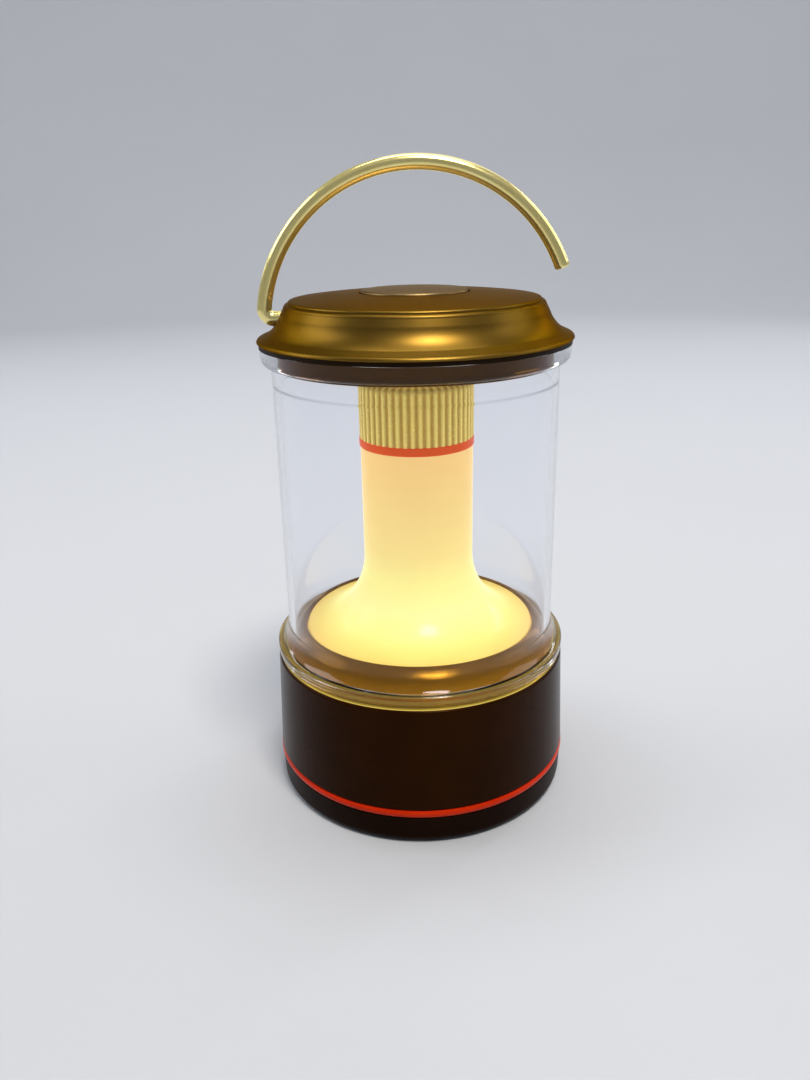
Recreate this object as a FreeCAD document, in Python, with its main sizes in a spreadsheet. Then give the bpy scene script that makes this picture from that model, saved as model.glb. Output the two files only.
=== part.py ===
import FreeCAD, Part
import math
import os
import Sketcher
import PartDesign

# Battery camping lantern: a dark drum with a turning battery base, a clear globe round an opal
# trumpet diffuser, and a bronze lid with a push button and a swinging carry hook.
# Millimetres, +Z up, origin at the centre of the underside. The hook's root is at -X and the
# side shown in the photograph faces -Y.

doc = FreeCAD.newDocument("camping_lantern")
sheet = doc.addObject("Spreadsheet::Sheet", "Sizes")

DRIVING_SIZES = {
    # Drum, red ring and turning base cover
    "base_radius": 37.8,
    "shell_top_radius": 36.8,
    "shell_bore": 34.9,
    "shell_bottom": 9.7,
    "shell_top": 35.8,
    "shell_edge": 0.7,
    "flange_thickness": 1.4,
    "flange_bore": 27.5,
    "cover_height": 7.6,
    "cover_radius": 37.6,
    "cover_round": 2.2,
    "cover_recess": 0.8,
    "cover_recess_radius": 29.0,
    "cover_floor": 2.4,
    "upstand_radius": 34.5,
    "upstand_wall": 1.5,
    "upstand_top": 17.0,
    "ring_top": 9.4,
    "ring_crown": 1.5,
    "ring_inset": 0.25,
    # Bayonet
    "lug_bottom": 12.0,
    "lug_height": 2.2,
    "lug_reach": 35.4,
    "lug_width": 8.0,
    "groove_radius": 36.0,
    "groove_gap": 0.35,
    "groove_sweep": 60.0,
    "turn_angle": 45.0,
    # Cells and their cradle
    "cell_radius": 7.1,
    "cell_length": 50.5,
    "cell_edge": 0.6,
    "nub_radius": 2.75,
    "nub_length": 1.2,
    "cell_offset": 7.7,
    "cell_shift": 1.55,
    "cradle_length": 57.2,
    "cradle_width": 29.0,
    "cradle_top": 33.0,
    "cradle_floor": 1.0,
    "end_wall": 1.4,
    "end_corner": 2.0,
    "spine_width": 1.0,
    "spine_length": 51.0,
    "shelf_height": 17.7,
    "shelf_thickness": 0.8,
    "shelf_reach": 9.0,
    "strip_thickness": 0.4,
    "strip_width": 9.0,
    "tongue_width": 5.0,
    "tongue_reach": 2.9,
    "guide_height": 6.0,
    "guide_length": 14.0,
    "guide_thickness": 1.4,
    # Light unit on the drum
    "chassis_radius": 34.2,
    "chassis_thickness": 1.3,
    "chassis_hole": 4.0,
    "board_seat": 1.5,
    "seat_radius": 24.0,
    "board_radius": 25.0,
    "board_thickness": 1.2,
    "board_hole": 5.0,
    "led_ring": 18.5,
    "led_size": 3.2,
    "led_height": 0.9,
    "bezel_radius": 33.7,
    "bezel_skirt": 38.0,
    "bezel_top": 43.8,
    "bezel_mouth": 29.2,
    "bezel_crown": 6.6,
    "bezel_wall": 1.3,
    "base_screw_ring": 30.2,
    "boss_radius": 1.9,
    "screw_radius": 0.95,
    "screw_head_radius": 1.8,
    "screw_head_height": 1.6,
    # Diffuser, band and ribbed cap
    "disc_radius": 28.9,
    "disc_top": 43.4,
    "disc_edge": 42.2,
    "diffuser_flange": 30.6,
    "diffuser_foot": 41.1,
    "diffuser_wall": 1.4,
    "column_radius": 13.7,
    "flare_top": 61.0,
    "flare_curve": 17.8,
    "column_top": 89.2,
    "spigot_radius": 12.5,
    "spigot_top": 102.0,
    "band_radius": 13.95,
    "band_top": 91.2,
    "cap_radius": 13.85,
    "cap_shoulder": 103.4,
    "cap_top": 104.8,
    "neck_radius": 9.0,
    "neck_bore": 7.6,
    "flute_radius": 0.6,
    "flute_count": 48,
    # Globe
    "globe_seat_radius": 35.6,
    "globe_seat_top": 37.0,
    "globe_radius": 33.8,
    "globe_wall": 1.6,
    "globe_foot_radius": 36.8,
    "globe_foot_bore": 34.6,
    "globe_foot_top": 39.4,
    "globe_flare_top": 44.2,
    "globe_flare_curve": 4.6,
    "globe_line": 105.0,
    "globe_line_step": 0.2,
    "globe_flange_bottom": 109.6,
    "globe_flange_radius": 36.4,
    "globe_top": 113.4,
    # Collar, lid and button
    "collar_radius": 32.0,
    "collar_wall": 1.5,
    "collar_bottom": 108.7,
    "web_bottom": 112.0,
    "web_bore": 7.0,
    "lid_gasket_radius": 36.3,
    "lid_gasket_height": 1.0,
    "lid_radius": 36.8,
    "lid_crest": 123.65,
    "lid_crest_radius": 29.2,
    "lid_crown": 1.15,
    "lid_dome": 218.0,
    "lid_wall": 1.0,
    "lid_screw_ring": 24.0,
    "lid_boss_radius": 2.6,
    "button_radius": 12.4,
    "button_gap": 0.35,
    "button_top": 125.3,
    "button_round": 0.6,
    "button_dome": 175.0,
    "button_flange": 13.6,
    "stem_radius": 2.0,
    "stem_bottom": 118.4,
    "switch_board_radius": 11.0,
    "switch_size": 6.0,
    "switch_height": 2.4,
    "plunger_radius": 1.75,
    "wire_radius": 0.65,
    "wire_offset": 6.0,
    # Carry hook
    "hook_wire": 1.75,
    "hook_pivot": 119.2,
    "hook_shift": 0.5,
    "hook_drop": 2.6,
    "hook_curve": 35.65,
    "hook_elbow": 2.2,
    "hook_end_rise": 10.1,
    "hook_root": 23.0,
    "bush_radius": 2.3,
    "bush_start": 24.6,
    "bush_length": 4.6,
    "clip_radius": 2.3,
    "clip_thickness": 1.0,
    "hook_gap": 0.4,
}


class Size:
    """A length that knows both its number and the sheet expression it comes from."""

    def __init__(self, value, text):
        self.value = value
        self.text = text

    def __add__(self, other):
        return Size(self.value + number(other), f"({self.text} + {words(other)})")

    def __radd__(self, other):
        return Size(number(other) + self.value, f"({words(other)} + {self.text})")

    def __sub__(self, other):
        return Size(self.value - number(other), f"({self.text} - {words(other)})")

    def __rsub__(self, other):
        return Size(number(other) - self.value, f"({words(other)} - {self.text})")

    def __mul__(self, factor):
        return Size(self.value * factor, f"({self.text} * {factor})")

    def __neg__(self):
        return Size(-self.value, f"(-{self.text})")


def number(size):
    return size.value if isinstance(size, Size) else float(size)


def words(size):
    return size.text if isinstance(size, Size) else f"{float(size):.6f}"


def crown_rise(curve, half_width):
    """Height of a round crown of a given curve above its edge."""
    rise = curve.value - math.sqrt(curve.value ** 2 - half_width.value ** 2)
    return Size(rise, f"({curve.text} - sqrt({curve.text} ^ 2 - {half_width.text} ^ 2))")


class Sheet:
    """The driving sizes as attributes, each bound to its cell in the sheet."""


size = Sheet()
for row, (alias, value) in enumerate(DRIVING_SIZES.items(), start=1):
    sheet.set(f"A{row}", alias)
    sheet.set(f"B{row}", str(value))
    sheet.setAlias(f"B{row}", alias)
    setattr(size, alias, Size(value, f"Sizes.{alias}"))
doc.recompute()

nodes = []


def node(feature, label):
    """Keep a finished object as a sub-part under its own label."""
    feature.Label = label
    nodes.append(feature)
    return feature


def bind(feature, path, length):
    feature.setExpression(path, words(length))


def origin_feature(body, role):
    return next(f for f in body.Origin.OriginFeatures if f.Role == role)


def new_body(name):
    return doc.addObject("PartDesign::Body", name)


def new_sketch(body, name, plane, lift=0, turn=0):
    """A sketch on one of the body's own planes, lifted along and turned about its normal."""
    sketch = body.newObject("Sketcher::SketchObject", name)
    sketch.AttachmentSupport = [(origin_feature(body, plane), "")]
    sketch.MapMode = "FlatFace"
    spin = FreeCAD.Rotation(FreeCAD.Vector(0, 0, 1), turn)
    sketch.AttachmentOffset = FreeCAD.Placement(FreeCAD.Vector(0, 0, number(lift)), spin)
    if isinstance(lift, Size):
        bind(sketch, "AttachmentOffset.Base.z", lift)
    return sketch


def add_bound(sketch, constraint, length):
    index = sketch.addConstraint(constraint)
    if isinstance(length, Size):
        sketch.setExpression(f"Constraints[{index}]", length.text)


def pin_point(sketch, edge, end, across, up):
    """Hold a sketch point at a distance across and up from the origin."""
    for kind, axis, length in (("DistanceX", -2, across), ("DistanceY", -1, up)):
        if abs(number(length)) < 1e-9:
            sketch.addConstraint(Sketcher.Constraint("PointOnObject", edge, end, axis))
        elif number(length) > 0:
            add_bound(sketch, Sketcher.Constraint(kind, -1, 1, edge, end, number(length)), length)
        else:
            back = -length
            add_bound(sketch, Sketcher.Constraint(kind, edge, end, -1, 1, number(back)), back)


def arc_between(start, end, radius, bow):
    """An arc from start to end; bow +1 puts its centre left of the way from start to end."""
    chord = end - start
    half = chord.Length / 2
    rise = math.sqrt(max(radius * radius - half * half, 0.0))
    left = FreeCAD.Vector(-chord.y, chord.x, 0).normalize()
    centre = (start + end) * 0.5 + left * rise * bow
    circle = Part.Circle(centre, FreeCAD.Vector(0, 0, 1), radius)
    first, last = (start, end) if bow > 0 else (end, start)
    angles = [math.atan2(p.y - centre.y, p.x - centre.x) for p in (first, last)]
    return Part.ArcOfCircle(circle, angles[0], angles[1])


def draw_outline(sketch, corners):
    """Draw a closed outline. A corner is (across, up), or (across, up, radius, bow) when the
    stretch that leads to it is an arc."""
    places = [FreeCAD.Vector(number(c[0]), number(c[1]), 0) for c in corners]
    edges = []
    for index, corner in enumerate(corners):
        start, end = places[index - 1], places[index]
        if len(corner) == 2:
            edge = sketch.addGeometry(Part.LineSegment(start, end))
            edges.append((edge, 1, 2))
        else:
            edge = sketch.addGeometry(arc_between(start, end, number(corner[2]), corner[3]))
            edges.append((edge, 1, 2) if corner[3] > 0 else (edge, 2, 1))
            add_bound(sketch, Sketcher.Constraint("Radius", edge, number(corner[2])), corner[2])
    for index, (edge, first, last) in enumerate(edges):
        following, its_first, its_last = edges[(index + 1) % len(edges)]
        sketch.addConstraint(Sketcher.Constraint("Coincident", edge, last, following, its_first))
        pin_point(sketch, edge, last, corners[index][0], corners[index][1])


def draw_circle(sketch, across, up, radius):
    centre = FreeCAD.Vector(number(across), number(up), 0)
    edge = sketch.addGeometry(Part.Circle(centre, FreeCAD.Vector(0, 0, 1), number(radius)))
    add_bound(sketch, Sketcher.Constraint("Radius", edge, number(radius)), radius)
    pin_point(sketch, edge, 3, across, up)


def draw_rectangle(sketch, left, right, low, high):
    draw_outline(sketch, [(left, low), (right, low), (right, high), (left, high)])


def add_feature(body, kind, name, sketch):
    feature = body.newObject(f"PartDesign::{kind}", name)
    feature.Profile = sketch
    body.Tip = feature
    return feature


def turn_outline(name, corners, plane="XZ_Plane"):
    """A body turned from an outline of (radius, height) corners about the vertical sketch axis."""
    body = new_body(name)
    sketch = new_sketch(body, f"{name}_outline", plane)
    draw_outline(sketch, corners)
    feature = add_feature(body, "Revolution", f"{name}_turned", sketch)
    feature.ReferenceAxis = (sketch, ["V_Axis"])
    feature.Angle = 360
    return body


def pad(body, name, sketch, length, symmetric=False, flipped=False):
    feature = add_feature(body, "Pad", name, sketch)
    bind(feature, "Length", length)
    feature.SideType = "Symmetric" if symmetric else "One side"
    feature.Reversed = flipped
    return feature


def repeat_round(body, name, features, count):
    """Repeat features evenly about the vertical axis."""
    doc.recompute()
    pattern = body.newObject("PartDesign::PolarPattern", name)
    pattern.Originals = features
    pattern.Axis = (origin_feature(body, "Z_Axis"), [""])
    pattern.Angle = 360
    pattern.Occurrences = count
    body.Tip = pattern
    return pattern


def rod(name, radius, low, high, across=0, along=0):
    """An upright round rod from low to high."""
    feature = doc.addObject("Part::Cylinder", name)
    bind(feature, "Radius", radius)
    bind(feature, "Height", high - low)
    for axis, place in (("x", across), ("y", along), ("z", low)):
        bind(feature, f"Placement.Base.{axis}", place)
    return feature


def around(ring, degrees):
    """Place on a ring at an angle, as two lengths."""
    angle = math.radians(degrees)
    return ring * round(math.cos(angle), 9), ring * round(math.sin(angle), 9)


def rods_round(name, angles, ring, radius, low, high):
    return [rod(f"{name}_{index}", radius, low, high, *around(ring, angle))
            for index, angle in enumerate(angles, start=1)]


def block(name, left, right, near, far, low, high):
    feature = doc.addObject("Part::Box", name)
    for path, start, end in (("Length", left, right), ("Width", near, far), ("Height", low, high)):
        bind(feature, path, end - start)
    for axis, place in (("x", left), ("y", near), ("z", low)):
        bind(feature, f"Placement.Base.{axis}", place)
    return feature


def join(name, features):
    feature = doc.addObject("Part::MultiFuse", name)
    feature.Shapes = features
    feature.Refine = True
    return feature


def group(name, features):
    feature = doc.addObject("Part::Compound", name)
    feature.Links = features
    return feature


def cut(name, base, tools):
    feature = doc.addObject("Part::Cut", name)
    feature.Base = base
    feature.Tool = tools[0] if len(tools) == 1 else group(f"{name}_tools", tools)
    return feature


CHASSIS_TOP = size.shell_top + size.chassis_thickness
BOARD_BOTTOM = CHASSIS_TOP + size.board_seat
BOARD_TOP = BOARD_BOTTOM + size.board_thickness
SWITCH_BOARD_TOP = size.globe_top + size.board_thickness
CREST_UNDERSIDE = size.lid_crest - size.lid_wall
LID_SEAT = size.globe_top + size.lid_gasket_height
LOW_CELLS = size.shelf_height - size.cell_radius - 0.05
HIGH_CELLS = size.shelf_height + size.shelf_thickness + size.cell_radius + 0.05
END_WALL_FACE = size.cradle_length * 0.5 - size.end_wall
CRADLE_BOTTOM = size.cover_floor
SCREW_HOLE = size.screw_radius + 0.15
SCREW_PILOT = size.screw_radius + 0.05
BASE_SCREW_ANGLES = (0, 35, 180, 215)
LID_SCREW_ANGLES = (0, 120, 240)
LED_ANGLES = range(0, 360, 60)
LUG_ANGLE = size.turn_angle * 0.5


def make_base_cover():
    """Turning base dish with its upstand, three bayonet lugs and two guides for the cradle."""
    inner = size.upstand_radius - size.upstand_wall
    body = turn_outline("cover_dish", [
        (0, size.cover_floor),
        (0, size.cover_recess),
        (size.cover_recess_radius, size.cover_recess),
        (size.cover_recess_radius + size.cover_recess, 0),
        (size.cover_radius - size.cover_round - 0.2, 0),
        (size.cover_radius - 0.2, size.cover_round, size.cover_round, 1),
        (size.cover_radius, size.cover_height),
        (size.upstand_radius, size.cover_height),
        (size.upstand_radius, size.upstand_top),
        (inner, size.upstand_top),
        (inner, size.cover_floor),
    ])
    sketch = new_sketch(body, "lug_plan", "XY_Plane", size.lug_bottom, -number(LUG_ANGLE))
    half = size.lug_width * 0.5
    draw_rectangle(sketch, size.upstand_radius - 0.8, size.lug_reach, -half, half)
    lug = pad(body, "lug", sketch, size.lug_height)
    repeat_round(body, "lugs", [lug], 3)
    guides = []
    reach = size.cradle_width * 0.5 + 0.2
    along = size.guide_length * 0.5
    top = size.cover_floor + size.guide_height
    for name, side in (("left", -1), ("right", 1)):
        edges = sorted((reach * side, (reach + size.guide_thickness) * side), key=number)
        guides.append(block(f"guide_{name}", *edges, -along, along, size.cover_floor, top))
    node(join("cover_with_guides", [body] + guides), "base_cover")


def make_red_ring():
    """Crowned trim ring between the cover and the drum."""
    edge = size.base_radius - size.ring_inset
    seat = size.upstand_radius + 0.1
    node(turn_outline("trim_ring", [
        (seat, size.cover_height),
        (edge, size.cover_height),
        (edge, size.ring_top, size.ring_crown, 1),
        (seat, size.ring_top),
    ]), "red_ring")


def make_body_shell():
    """Drum with a seat for the globe, bayonet grooves, their entries and the screw holes."""
    under = size.shell_top - size.flange_thickness
    body = turn_outline("drum", [
        (size.shell_bore, size.shell_bottom),
        (size.base_radius - 0.1, size.shell_bottom),
        (size.shell_top_radius, size.shell_top - size.shell_edge),
        (size.shell_top_radius - size.shell_edge, size.shell_top, size.shell_edge, 1),
        (size.flange_bore, size.shell_top),
        (size.flange_bore, under),
        (size.shell_bore, under),
    ])
    inside = size.shell_bore - 0.5
    low = size.lug_bottom - size.groove_gap
    high = size.lug_bottom + size.lug_height + size.groove_gap
    sketch = new_sketch(body, "groove_section", "XZ_Plane")
    draw_rectangle(sketch, inside, size.groove_radius, low, high)
    groove = add_feature(body, "Groove", "bayonet_groove", sketch)
    groove.ReferenceAxis = (sketch, ["V_Axis"])
    bind(groove, "Angle", size.groove_sweep)
    groove.Midplane = True
    half = size.lug_width * 0.5 + 0.6
    entry = new_sketch(body, "entry_plan", "XY_Plane", size.shell_bottom, number(LUG_ANGLE))
    draw_rectangle(entry, inside, size.groove_radius, -half, half)
    slot = add_feature(body, "Pocket", "bayonet_entry", entry)
    bind(slot, "Length", low - size.shell_bottom + 0.1)
    slot.Reversed = True
    repeat_round(body, "bayonets", [groove, slot], 3)
    holes = rods_round("drum_hole", BASE_SCREW_ANGLES, size.base_screw_ring, SCREW_HOLE,
                       under - 1, size.shell_top + 1)
    node(cut("drum_drilled", body, holes), "body_shell")


def make_cells():
    """Four AA cells, two a side of the cradle's spine, each turned about to join in series."""
    for index, (side, height, way) in enumerate(CELL_PLACES, start=1):
        half = size.cell_length * 0.5
        shoulder = half - size.nub_length
        body = turn_outline(f"cell_{index}_can", [
            (0, -half),
            (size.cell_radius - size.cell_edge, -half),
            (size.cell_radius, size.cell_edge - half),
            (size.cell_radius, shoulder - size.cell_edge),
            (size.cell_radius - size.cell_edge, shoulder),
            (size.nub_radius, shoulder),
            (size.nub_radius, half),
            (0, half),
        ], "XY_Plane")
        if way < 0:
            body.Placement.Rotation = FreeCAD.Rotation(FreeCAD.Vector(0, 0, 1), 180)
        bind(body, "Placement.Base.x", size.cell_offset * side)
        bind(body, "Placement.Base.y", size.cell_shift * way)
        bind(body, "Placement.Base.z", height)
        node(body, f"battery_cell_{index}")


CELL_PLACES = (
    (-1, HIGH_CELLS, 1),
    (-1, LOW_CELLS, -1),
    (1, LOW_CELLS, 1),
    (1, HIGH_CELLS, -1),
)


def make_battery_cradle():
    """Moulded holder: a spine with shelves and a floor between two rounded end walls."""
    body = new_body("cradle")
    section = new_sketch(body, "cradle_section", "XZ_Plane")
    wide = size.cradle_width * 0.5
    thin = size.spine_width * 0.5
    floor_top = CRADLE_BOTTOM + size.cradle_floor
    shelf_top = size.shelf_height + size.shelf_thickness
    right = [
        (wide, CRADLE_BOTTOM),
        (wide, floor_top),
        (thin, floor_top),
        (thin, size.shelf_height),
        (size.shelf_reach, size.shelf_height),
        (size.shelf_reach, shelf_top),
        (thin, shelf_top),
        (thin, size.cradle_top),
    ]
    left = [(-across, up) for across, up in reversed(right)]
    draw_outline(section, right + left)
    pad(body, "cradle_spine", section, size.spine_length, symmetric=True)
    outer = size.cradle_length * 0.5
    corner = size.end_corner
    for name, lift, flipped in (("rear", -outer, False), ("front", outer, True)):
        wall = new_sketch(body, f"{name}_end_plan", "XZ_Plane", lift)
        draw_outline(wall, [
            (-wide, CRADLE_BOTTOM),
            (wide, CRADLE_BOTTOM),
            (wide, size.cradle_top - corner),
            (wide - corner, size.cradle_top, corner, 1),
            (corner - wide, size.cradle_top),
            (-wide, size.cradle_top - corner, corner, 1),
        ])
        pad(body, f"{name}_end_wall", wall, size.end_wall, flipped=flipped)
    foot = new_sketch(body, "floor_plan", "XY_Plane", CRADLE_BOTTOM)
    draw_rectangle(foot, -wide, wide, -outer, outer)
    pad(body, "cradle_foot", foot, size.cradle_floor)
    node(body, "battery_cradle")


def tongue(name, side, height, end):
    """Sprung tongue of a negative contact: a bent strip that stands off the end wall."""
    body = new_body(name)
    sketch = new_sketch(body, f"{name}_bend", "YZ_Plane", size.cell_offset * side - size.tongue_width * 0.5)
    face = (END_WALL_FACE - size.strip_thickness) * end
    tip = (END_WALL_FACE - size.strip_thickness - size.tongue_reach) * end
    skin = size.strip_thickness * end
    root = height - 3.2
    knee = height + 0.6
    close = height + 2.6
    draw_outline(sketch, [
        (face, root),
        (tip, knee),
        (face - skin * 2, close),
        (face - skin, close),
        (tip + skin, knee),
        (face, root + 0.6),
    ])
    pad(body, f"{name}_strip", sketch, size.tongue_width)
    return body


def strip(name, left, right, low, high, end):
    """Flat contact strip on the inner face of an end wall."""
    near, far = sorted((END_WALL_FACE * end, (END_WALL_FACE - size.strip_thickness) * end), key=number)
    return block(name, left, right, near, far, low, high)


def make_contacts():
    """Series links and the two terminals, each a strip with the tongues its cells need."""
    half = size.strip_width * 0.5
    below = LOW_CELLS - half
    above = HIGH_CELLS + half
    columns = {side: (size.cell_offset * side - half, size.cell_offset * side + half)
               for side in (-1, 1)}
    front, rear = -1, 1
    node(join("left_link", [
        strip("left_link_strip", *columns[-1], below, above, front),
        tongue("left_link_tongue", -1, HIGH_CELLS, front),
    ]), "series_link_left")
    node(join("right_link", [
        strip("right_link_strip", *columns[1], below, above, front),
        tongue("right_link_tongue", 1, LOW_CELLS, front),
    ]), "series_link_right")
    node(join("cross_link", [
        strip("cross_link_strip", columns[-1][0], columns[1][1], below, LOW_CELLS + half, rear),
        tongue("cross_link_tongue", -1, LOW_CELLS, rear),
    ]), "series_link_cross")
    low = HIGH_CELLS - half
    pad_edges = (END_WALL_FACE - size.strip_thickness, size.cradle_length * 0.5)
    pad_top = size.cradle_top + size.strip_thickness
    for name, side in (("plus", -1), ("minus", 1)):
        pieces = [
            strip(f"{name}_strip", *columns[side], low, size.cradle_top, rear),
            block(f"{name}_pad", *columns[side], *pad_edges, size.cradle_top, pad_top),
        ]
        if name == "minus":
            pieces.append(tongue("minus_tongue", side, HIGH_CELLS, rear))
        node(join(f"{name}_terminal", pieces), f"terminal_{name}")


LEAF_TAIL = 15.5


def make_leaf_contacts():
    """Leaf contacts under the chassis that meet the terminals' pads when the base is home."""
    hover = size.cradle_top + size.strip_thickness + 0.3
    skin = size.strip_thickness
    under = size.shell_top - skin
    for name, side in (("plus", -1), ("minus", 1)):
        body = new_body(f"{name}_leaf")
        start = size.cell_offset * side - size.tongue_width * 0.5
        sketch = new_sketch(body, f"{name}_leaf_bend", "YZ_Plane", start)
        draw_outline(sketch, [
            (13.5, under),
            (18.0, under),
            (23.5, hover),
            (26.9, hover),
            (27.4, hover + skin),
            (23.6, hover + skin),
            (18.2, size.shell_top),
            (13.5, size.shell_top),
        ])
        pad(body, f"{name}_leaf_strip", sketch, size.tongue_width)
        tail = rod(f"{name}_tail", size.wire_radius, size.shell_top, BOARD_BOTTOM,
                   size.cell_offset * side, LEAF_TAIL)
        node(join(f"{name}_leaf_and_tail", [body, tail]), f"leaf_contact_{name}")


def make_chassis():
    """Plate that carries the light, with a raised seat for the LED board."""
    seat_inner = size.seat_radius - 2.0
    body = turn_outline("chassis_disc", [
        (size.chassis_hole, size.shell_top),
        (size.chassis_radius, size.shell_top),
        (size.chassis_radius, CHASSIS_TOP),
        (size.seat_radius, CHASSIS_TOP),
        (size.seat_radius, BOARD_BOTTOM),
        (seat_inner, BOARD_BOTTOM),
        (seat_inner, CHASSIS_TOP),
        (size.chassis_hole, CHASSIS_TOP),
    ])
    holes = rods_round("chassis_hole", BASE_SCREW_ANGLES, size.base_screw_ring, SCREW_HOLE,
                       size.shell_top - 1, CHASSIS_TOP + 1)
    for name, side in (("plus", -1), ("minus", 1)):
        holes.append(rod(f"{name}_tail_hole", size.wire_radius + 0.3, size.shell_top - 1,
                         CHASSIS_TOP + 1, size.cell_offset * side, LEAF_TAIL))
    node(cut("chassis_drilled", body, holes), "chassis_plate")


def make_light_board():
    """LED board with its ring of LEDs, the driver chip and the inductor."""
    node(turn_outline("light_board", [
        (size.board_hole, BOARD_BOTTOM),
        (size.board_radius, BOARD_BOTTOM),
        (size.board_radius, BOARD_TOP),
        (size.board_hole, BOARD_TOP),
    ]), "led_board")
    half = size.led_size * 0.5
    for index, angle in enumerate(LED_ANGLES, start=1):
        across, along = around(size.led_ring, angle + 30)
        case = block(f"led_case_{index}", across - half, across + half, along - half, along + half,
                     BOARD_TOP, BOARD_TOP + size.led_height * 0.6)
        lens = rod(f"led_lens_{index}", half * 0.8, BOARD_TOP + size.led_height * 0.6,
                   BOARD_TOP + size.led_height, across, along)
        node(join(f"led_{index}_joined", [case, lens]), f"led_{index}")
    node(block("chip", Size(-2.5, "-2.5"), Size(2.5, "2.5"), Size(7.0, "7.0"), Size(11.0, "11.0"),
               BOARD_TOP, BOARD_TOP + 1.5), "driver_chip")
    coil = turn_outline("coil_can", [
        (0, BOARD_TOP),
        (3.0, BOARD_TOP),
        (3.0, BOARD_TOP + 0.8),
        (2.3, BOARD_TOP + 0.8),
        (2.3, BOARD_TOP + 2.4),
        (3.0, BOARD_TOP + 2.4),
        (3.0, BOARD_TOP + 3.2),
        (0, BOARD_TOP + 3.2),
    ])
    coil.Placement.Base = FreeCAD.Vector(0, -9.0, 0)
    node(coil, "inductor")


def make_bezel():
    """Rounded shoulder ring round the diffuser, with the bosses its screws bite into."""
    wall = size.bezel_wall
    body = turn_outline("bezel", [
        (size.bezel_radius - wall, CHASSIS_TOP),
        (size.bezel_radius, CHASSIS_TOP),
        (size.bezel_radius, size.bezel_skirt),
        (size.bezel_mouth + 0.4, size.bezel_top, size.bezel_crown, 1),
        (size.bezel_mouth, size.bezel_top - 0.4),
        (size.bezel_mouth, size.disc_edge),
        (size.diffuser_flange + 0.15, size.disc_edge),
        (size.bezel_radius - wall, size.bezel_skirt + 0.6, size.bezel_crown - wall, -1),
    ])
    bosses = rods_round("bezel_boss", BASE_SCREW_ANGLES, size.base_screw_ring, size.boss_radius,
                        CHASSIS_TOP, size.diffuser_foot)
    pilots = rods_round("bezel_pilot", BASE_SCREW_ANGLES, size.base_screw_ring, SCREW_PILOT,
                        CHASSIS_TOP - 1, size.diffuser_foot - 0.6)
    node(cut("bezel_drilled", join("bezel_with_bosses", [body] + bosses), pilots), "bezel_ring")


def make_diffuser():
    """Opal trumpet: a disc that sweeps up into a straight column, thin walled all through."""
    wall = size.diffuser_wall
    node(turn_outline("trumpet", [
        (size.diffuser_flange, size.diffuser_foot),
        (size.diffuser_flange, size.disc_edge),
        (size.disc_radius, size.disc_edge),
        (size.disc_radius, size.disc_top),
        (size.column_radius, size.flare_top, size.flare_curve, -1),
        (size.column_radius, size.column_top),
        (size.spigot_radius, size.column_top),
        (size.spigot_radius, size.spigot_top),
        (size.spigot_radius - wall, size.spigot_top),
        (size.spigot_radius - wall, size.column_top - 1.4),
        (size.column_radius - wall, size.column_top - 2.6),
        (size.column_radius - wall, size.flare_top),
        (size.disc_radius - wall, size.diffuser_foot + 0.6, size.flare_curve + wall, 1),
        (size.disc_radius - wall, size.diffuser_foot),
    ]), "diffuser")


def make_column_band():
    """Red band between the column and the ribbed cap."""
    node(turn_outline("band", [
        (size.spigot_radius + 0.1, size.column_top),
        (size.band_radius, size.column_top),
        (size.band_radius, size.band_top),
        (size.spigot_radius + 0.1, size.band_top),
    ]), "column_band")


def make_mantle_cap():
    """Ribbed sleeve with a rounded shoulder and a neck that meets the collar."""
    rounding = size.cap_top - size.cap_shoulder
    body = turn_outline("cap", [
        (size.spigot_radius + 0.1, size.band_top),
        (size.cap_radius, size.band_top),
        (size.cap_radius, size.cap_shoulder),
        (size.cap_radius - rounding, size.cap_top, rounding, 1),
        (size.neck_radius, size.cap_top),
        (size.neck_radius, size.web_bottom),
        (size.neck_bore, size.web_bottom),
        (size.neck_bore, size.spigot_top + 0.2),
        (size.spigot_radius + 0.1, size.spigot_top + 0.2),
    ])
    sketch = new_sketch(body, "flute_plan", "XY_Plane", size.band_top - 0.1)
    draw_circle(sketch, size.cap_radius + size.flute_radius * 0.35, 0, size.flute_radius)
    flute = add_feature(body, "Pocket", "flute", sketch)
    bind(flute, "Length", size.cap_top - size.band_top)
    flute.Reversed = True
    repeat_round(body, "flutes", [flute], DRIVING_SIZES["flute_count"])
    node(body, "mantle_cap")


def make_globe():
    """Clear globe: flared foot on its seat, straight wall and a thick flange under the lid."""
    inner = size.globe_radius - size.globe_wall
    shoulder = size.globe_flange_radius - 0.3
    node(turn_outline("clear_wall", [
        (size.globe_foot_bore, size.globe_seat_top),
        (size.globe_foot_radius, size.globe_seat_top),
        (size.globe_foot_radius, size.globe_foot_top - 0.5),
        (size.globe_foot_radius - 0.5, size.globe_foot_top, 0.5, 1),
        (size.globe_radius, size.globe_flare_top, size.globe_flare_curve, -1),
        (size.globe_radius, size.globe_flange_bottom - 0.5),
        (size.globe_radius + 0.5, size.globe_flange_bottom, 0.5, -1),
        (shoulder - 1.3, size.globe_flange_bottom),
        (shoulder, size.globe_flange_bottom + 1.3, 1.3, 1),
        (size.globe_flange_radius, size.globe_top),
        (inner, size.globe_top),
        (inner, size.globe_line),
        (inner + size.globe_line_step, size.globe_line - size.globe_line_step),
        (inner + size.globe_line_step, size.globe_flare_top),
        (size.globe_foot_bore, size.globe_foot_top - 0.6, size.globe_flare_curve + size.globe_wall, 1),
    ]), "globe")


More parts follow.
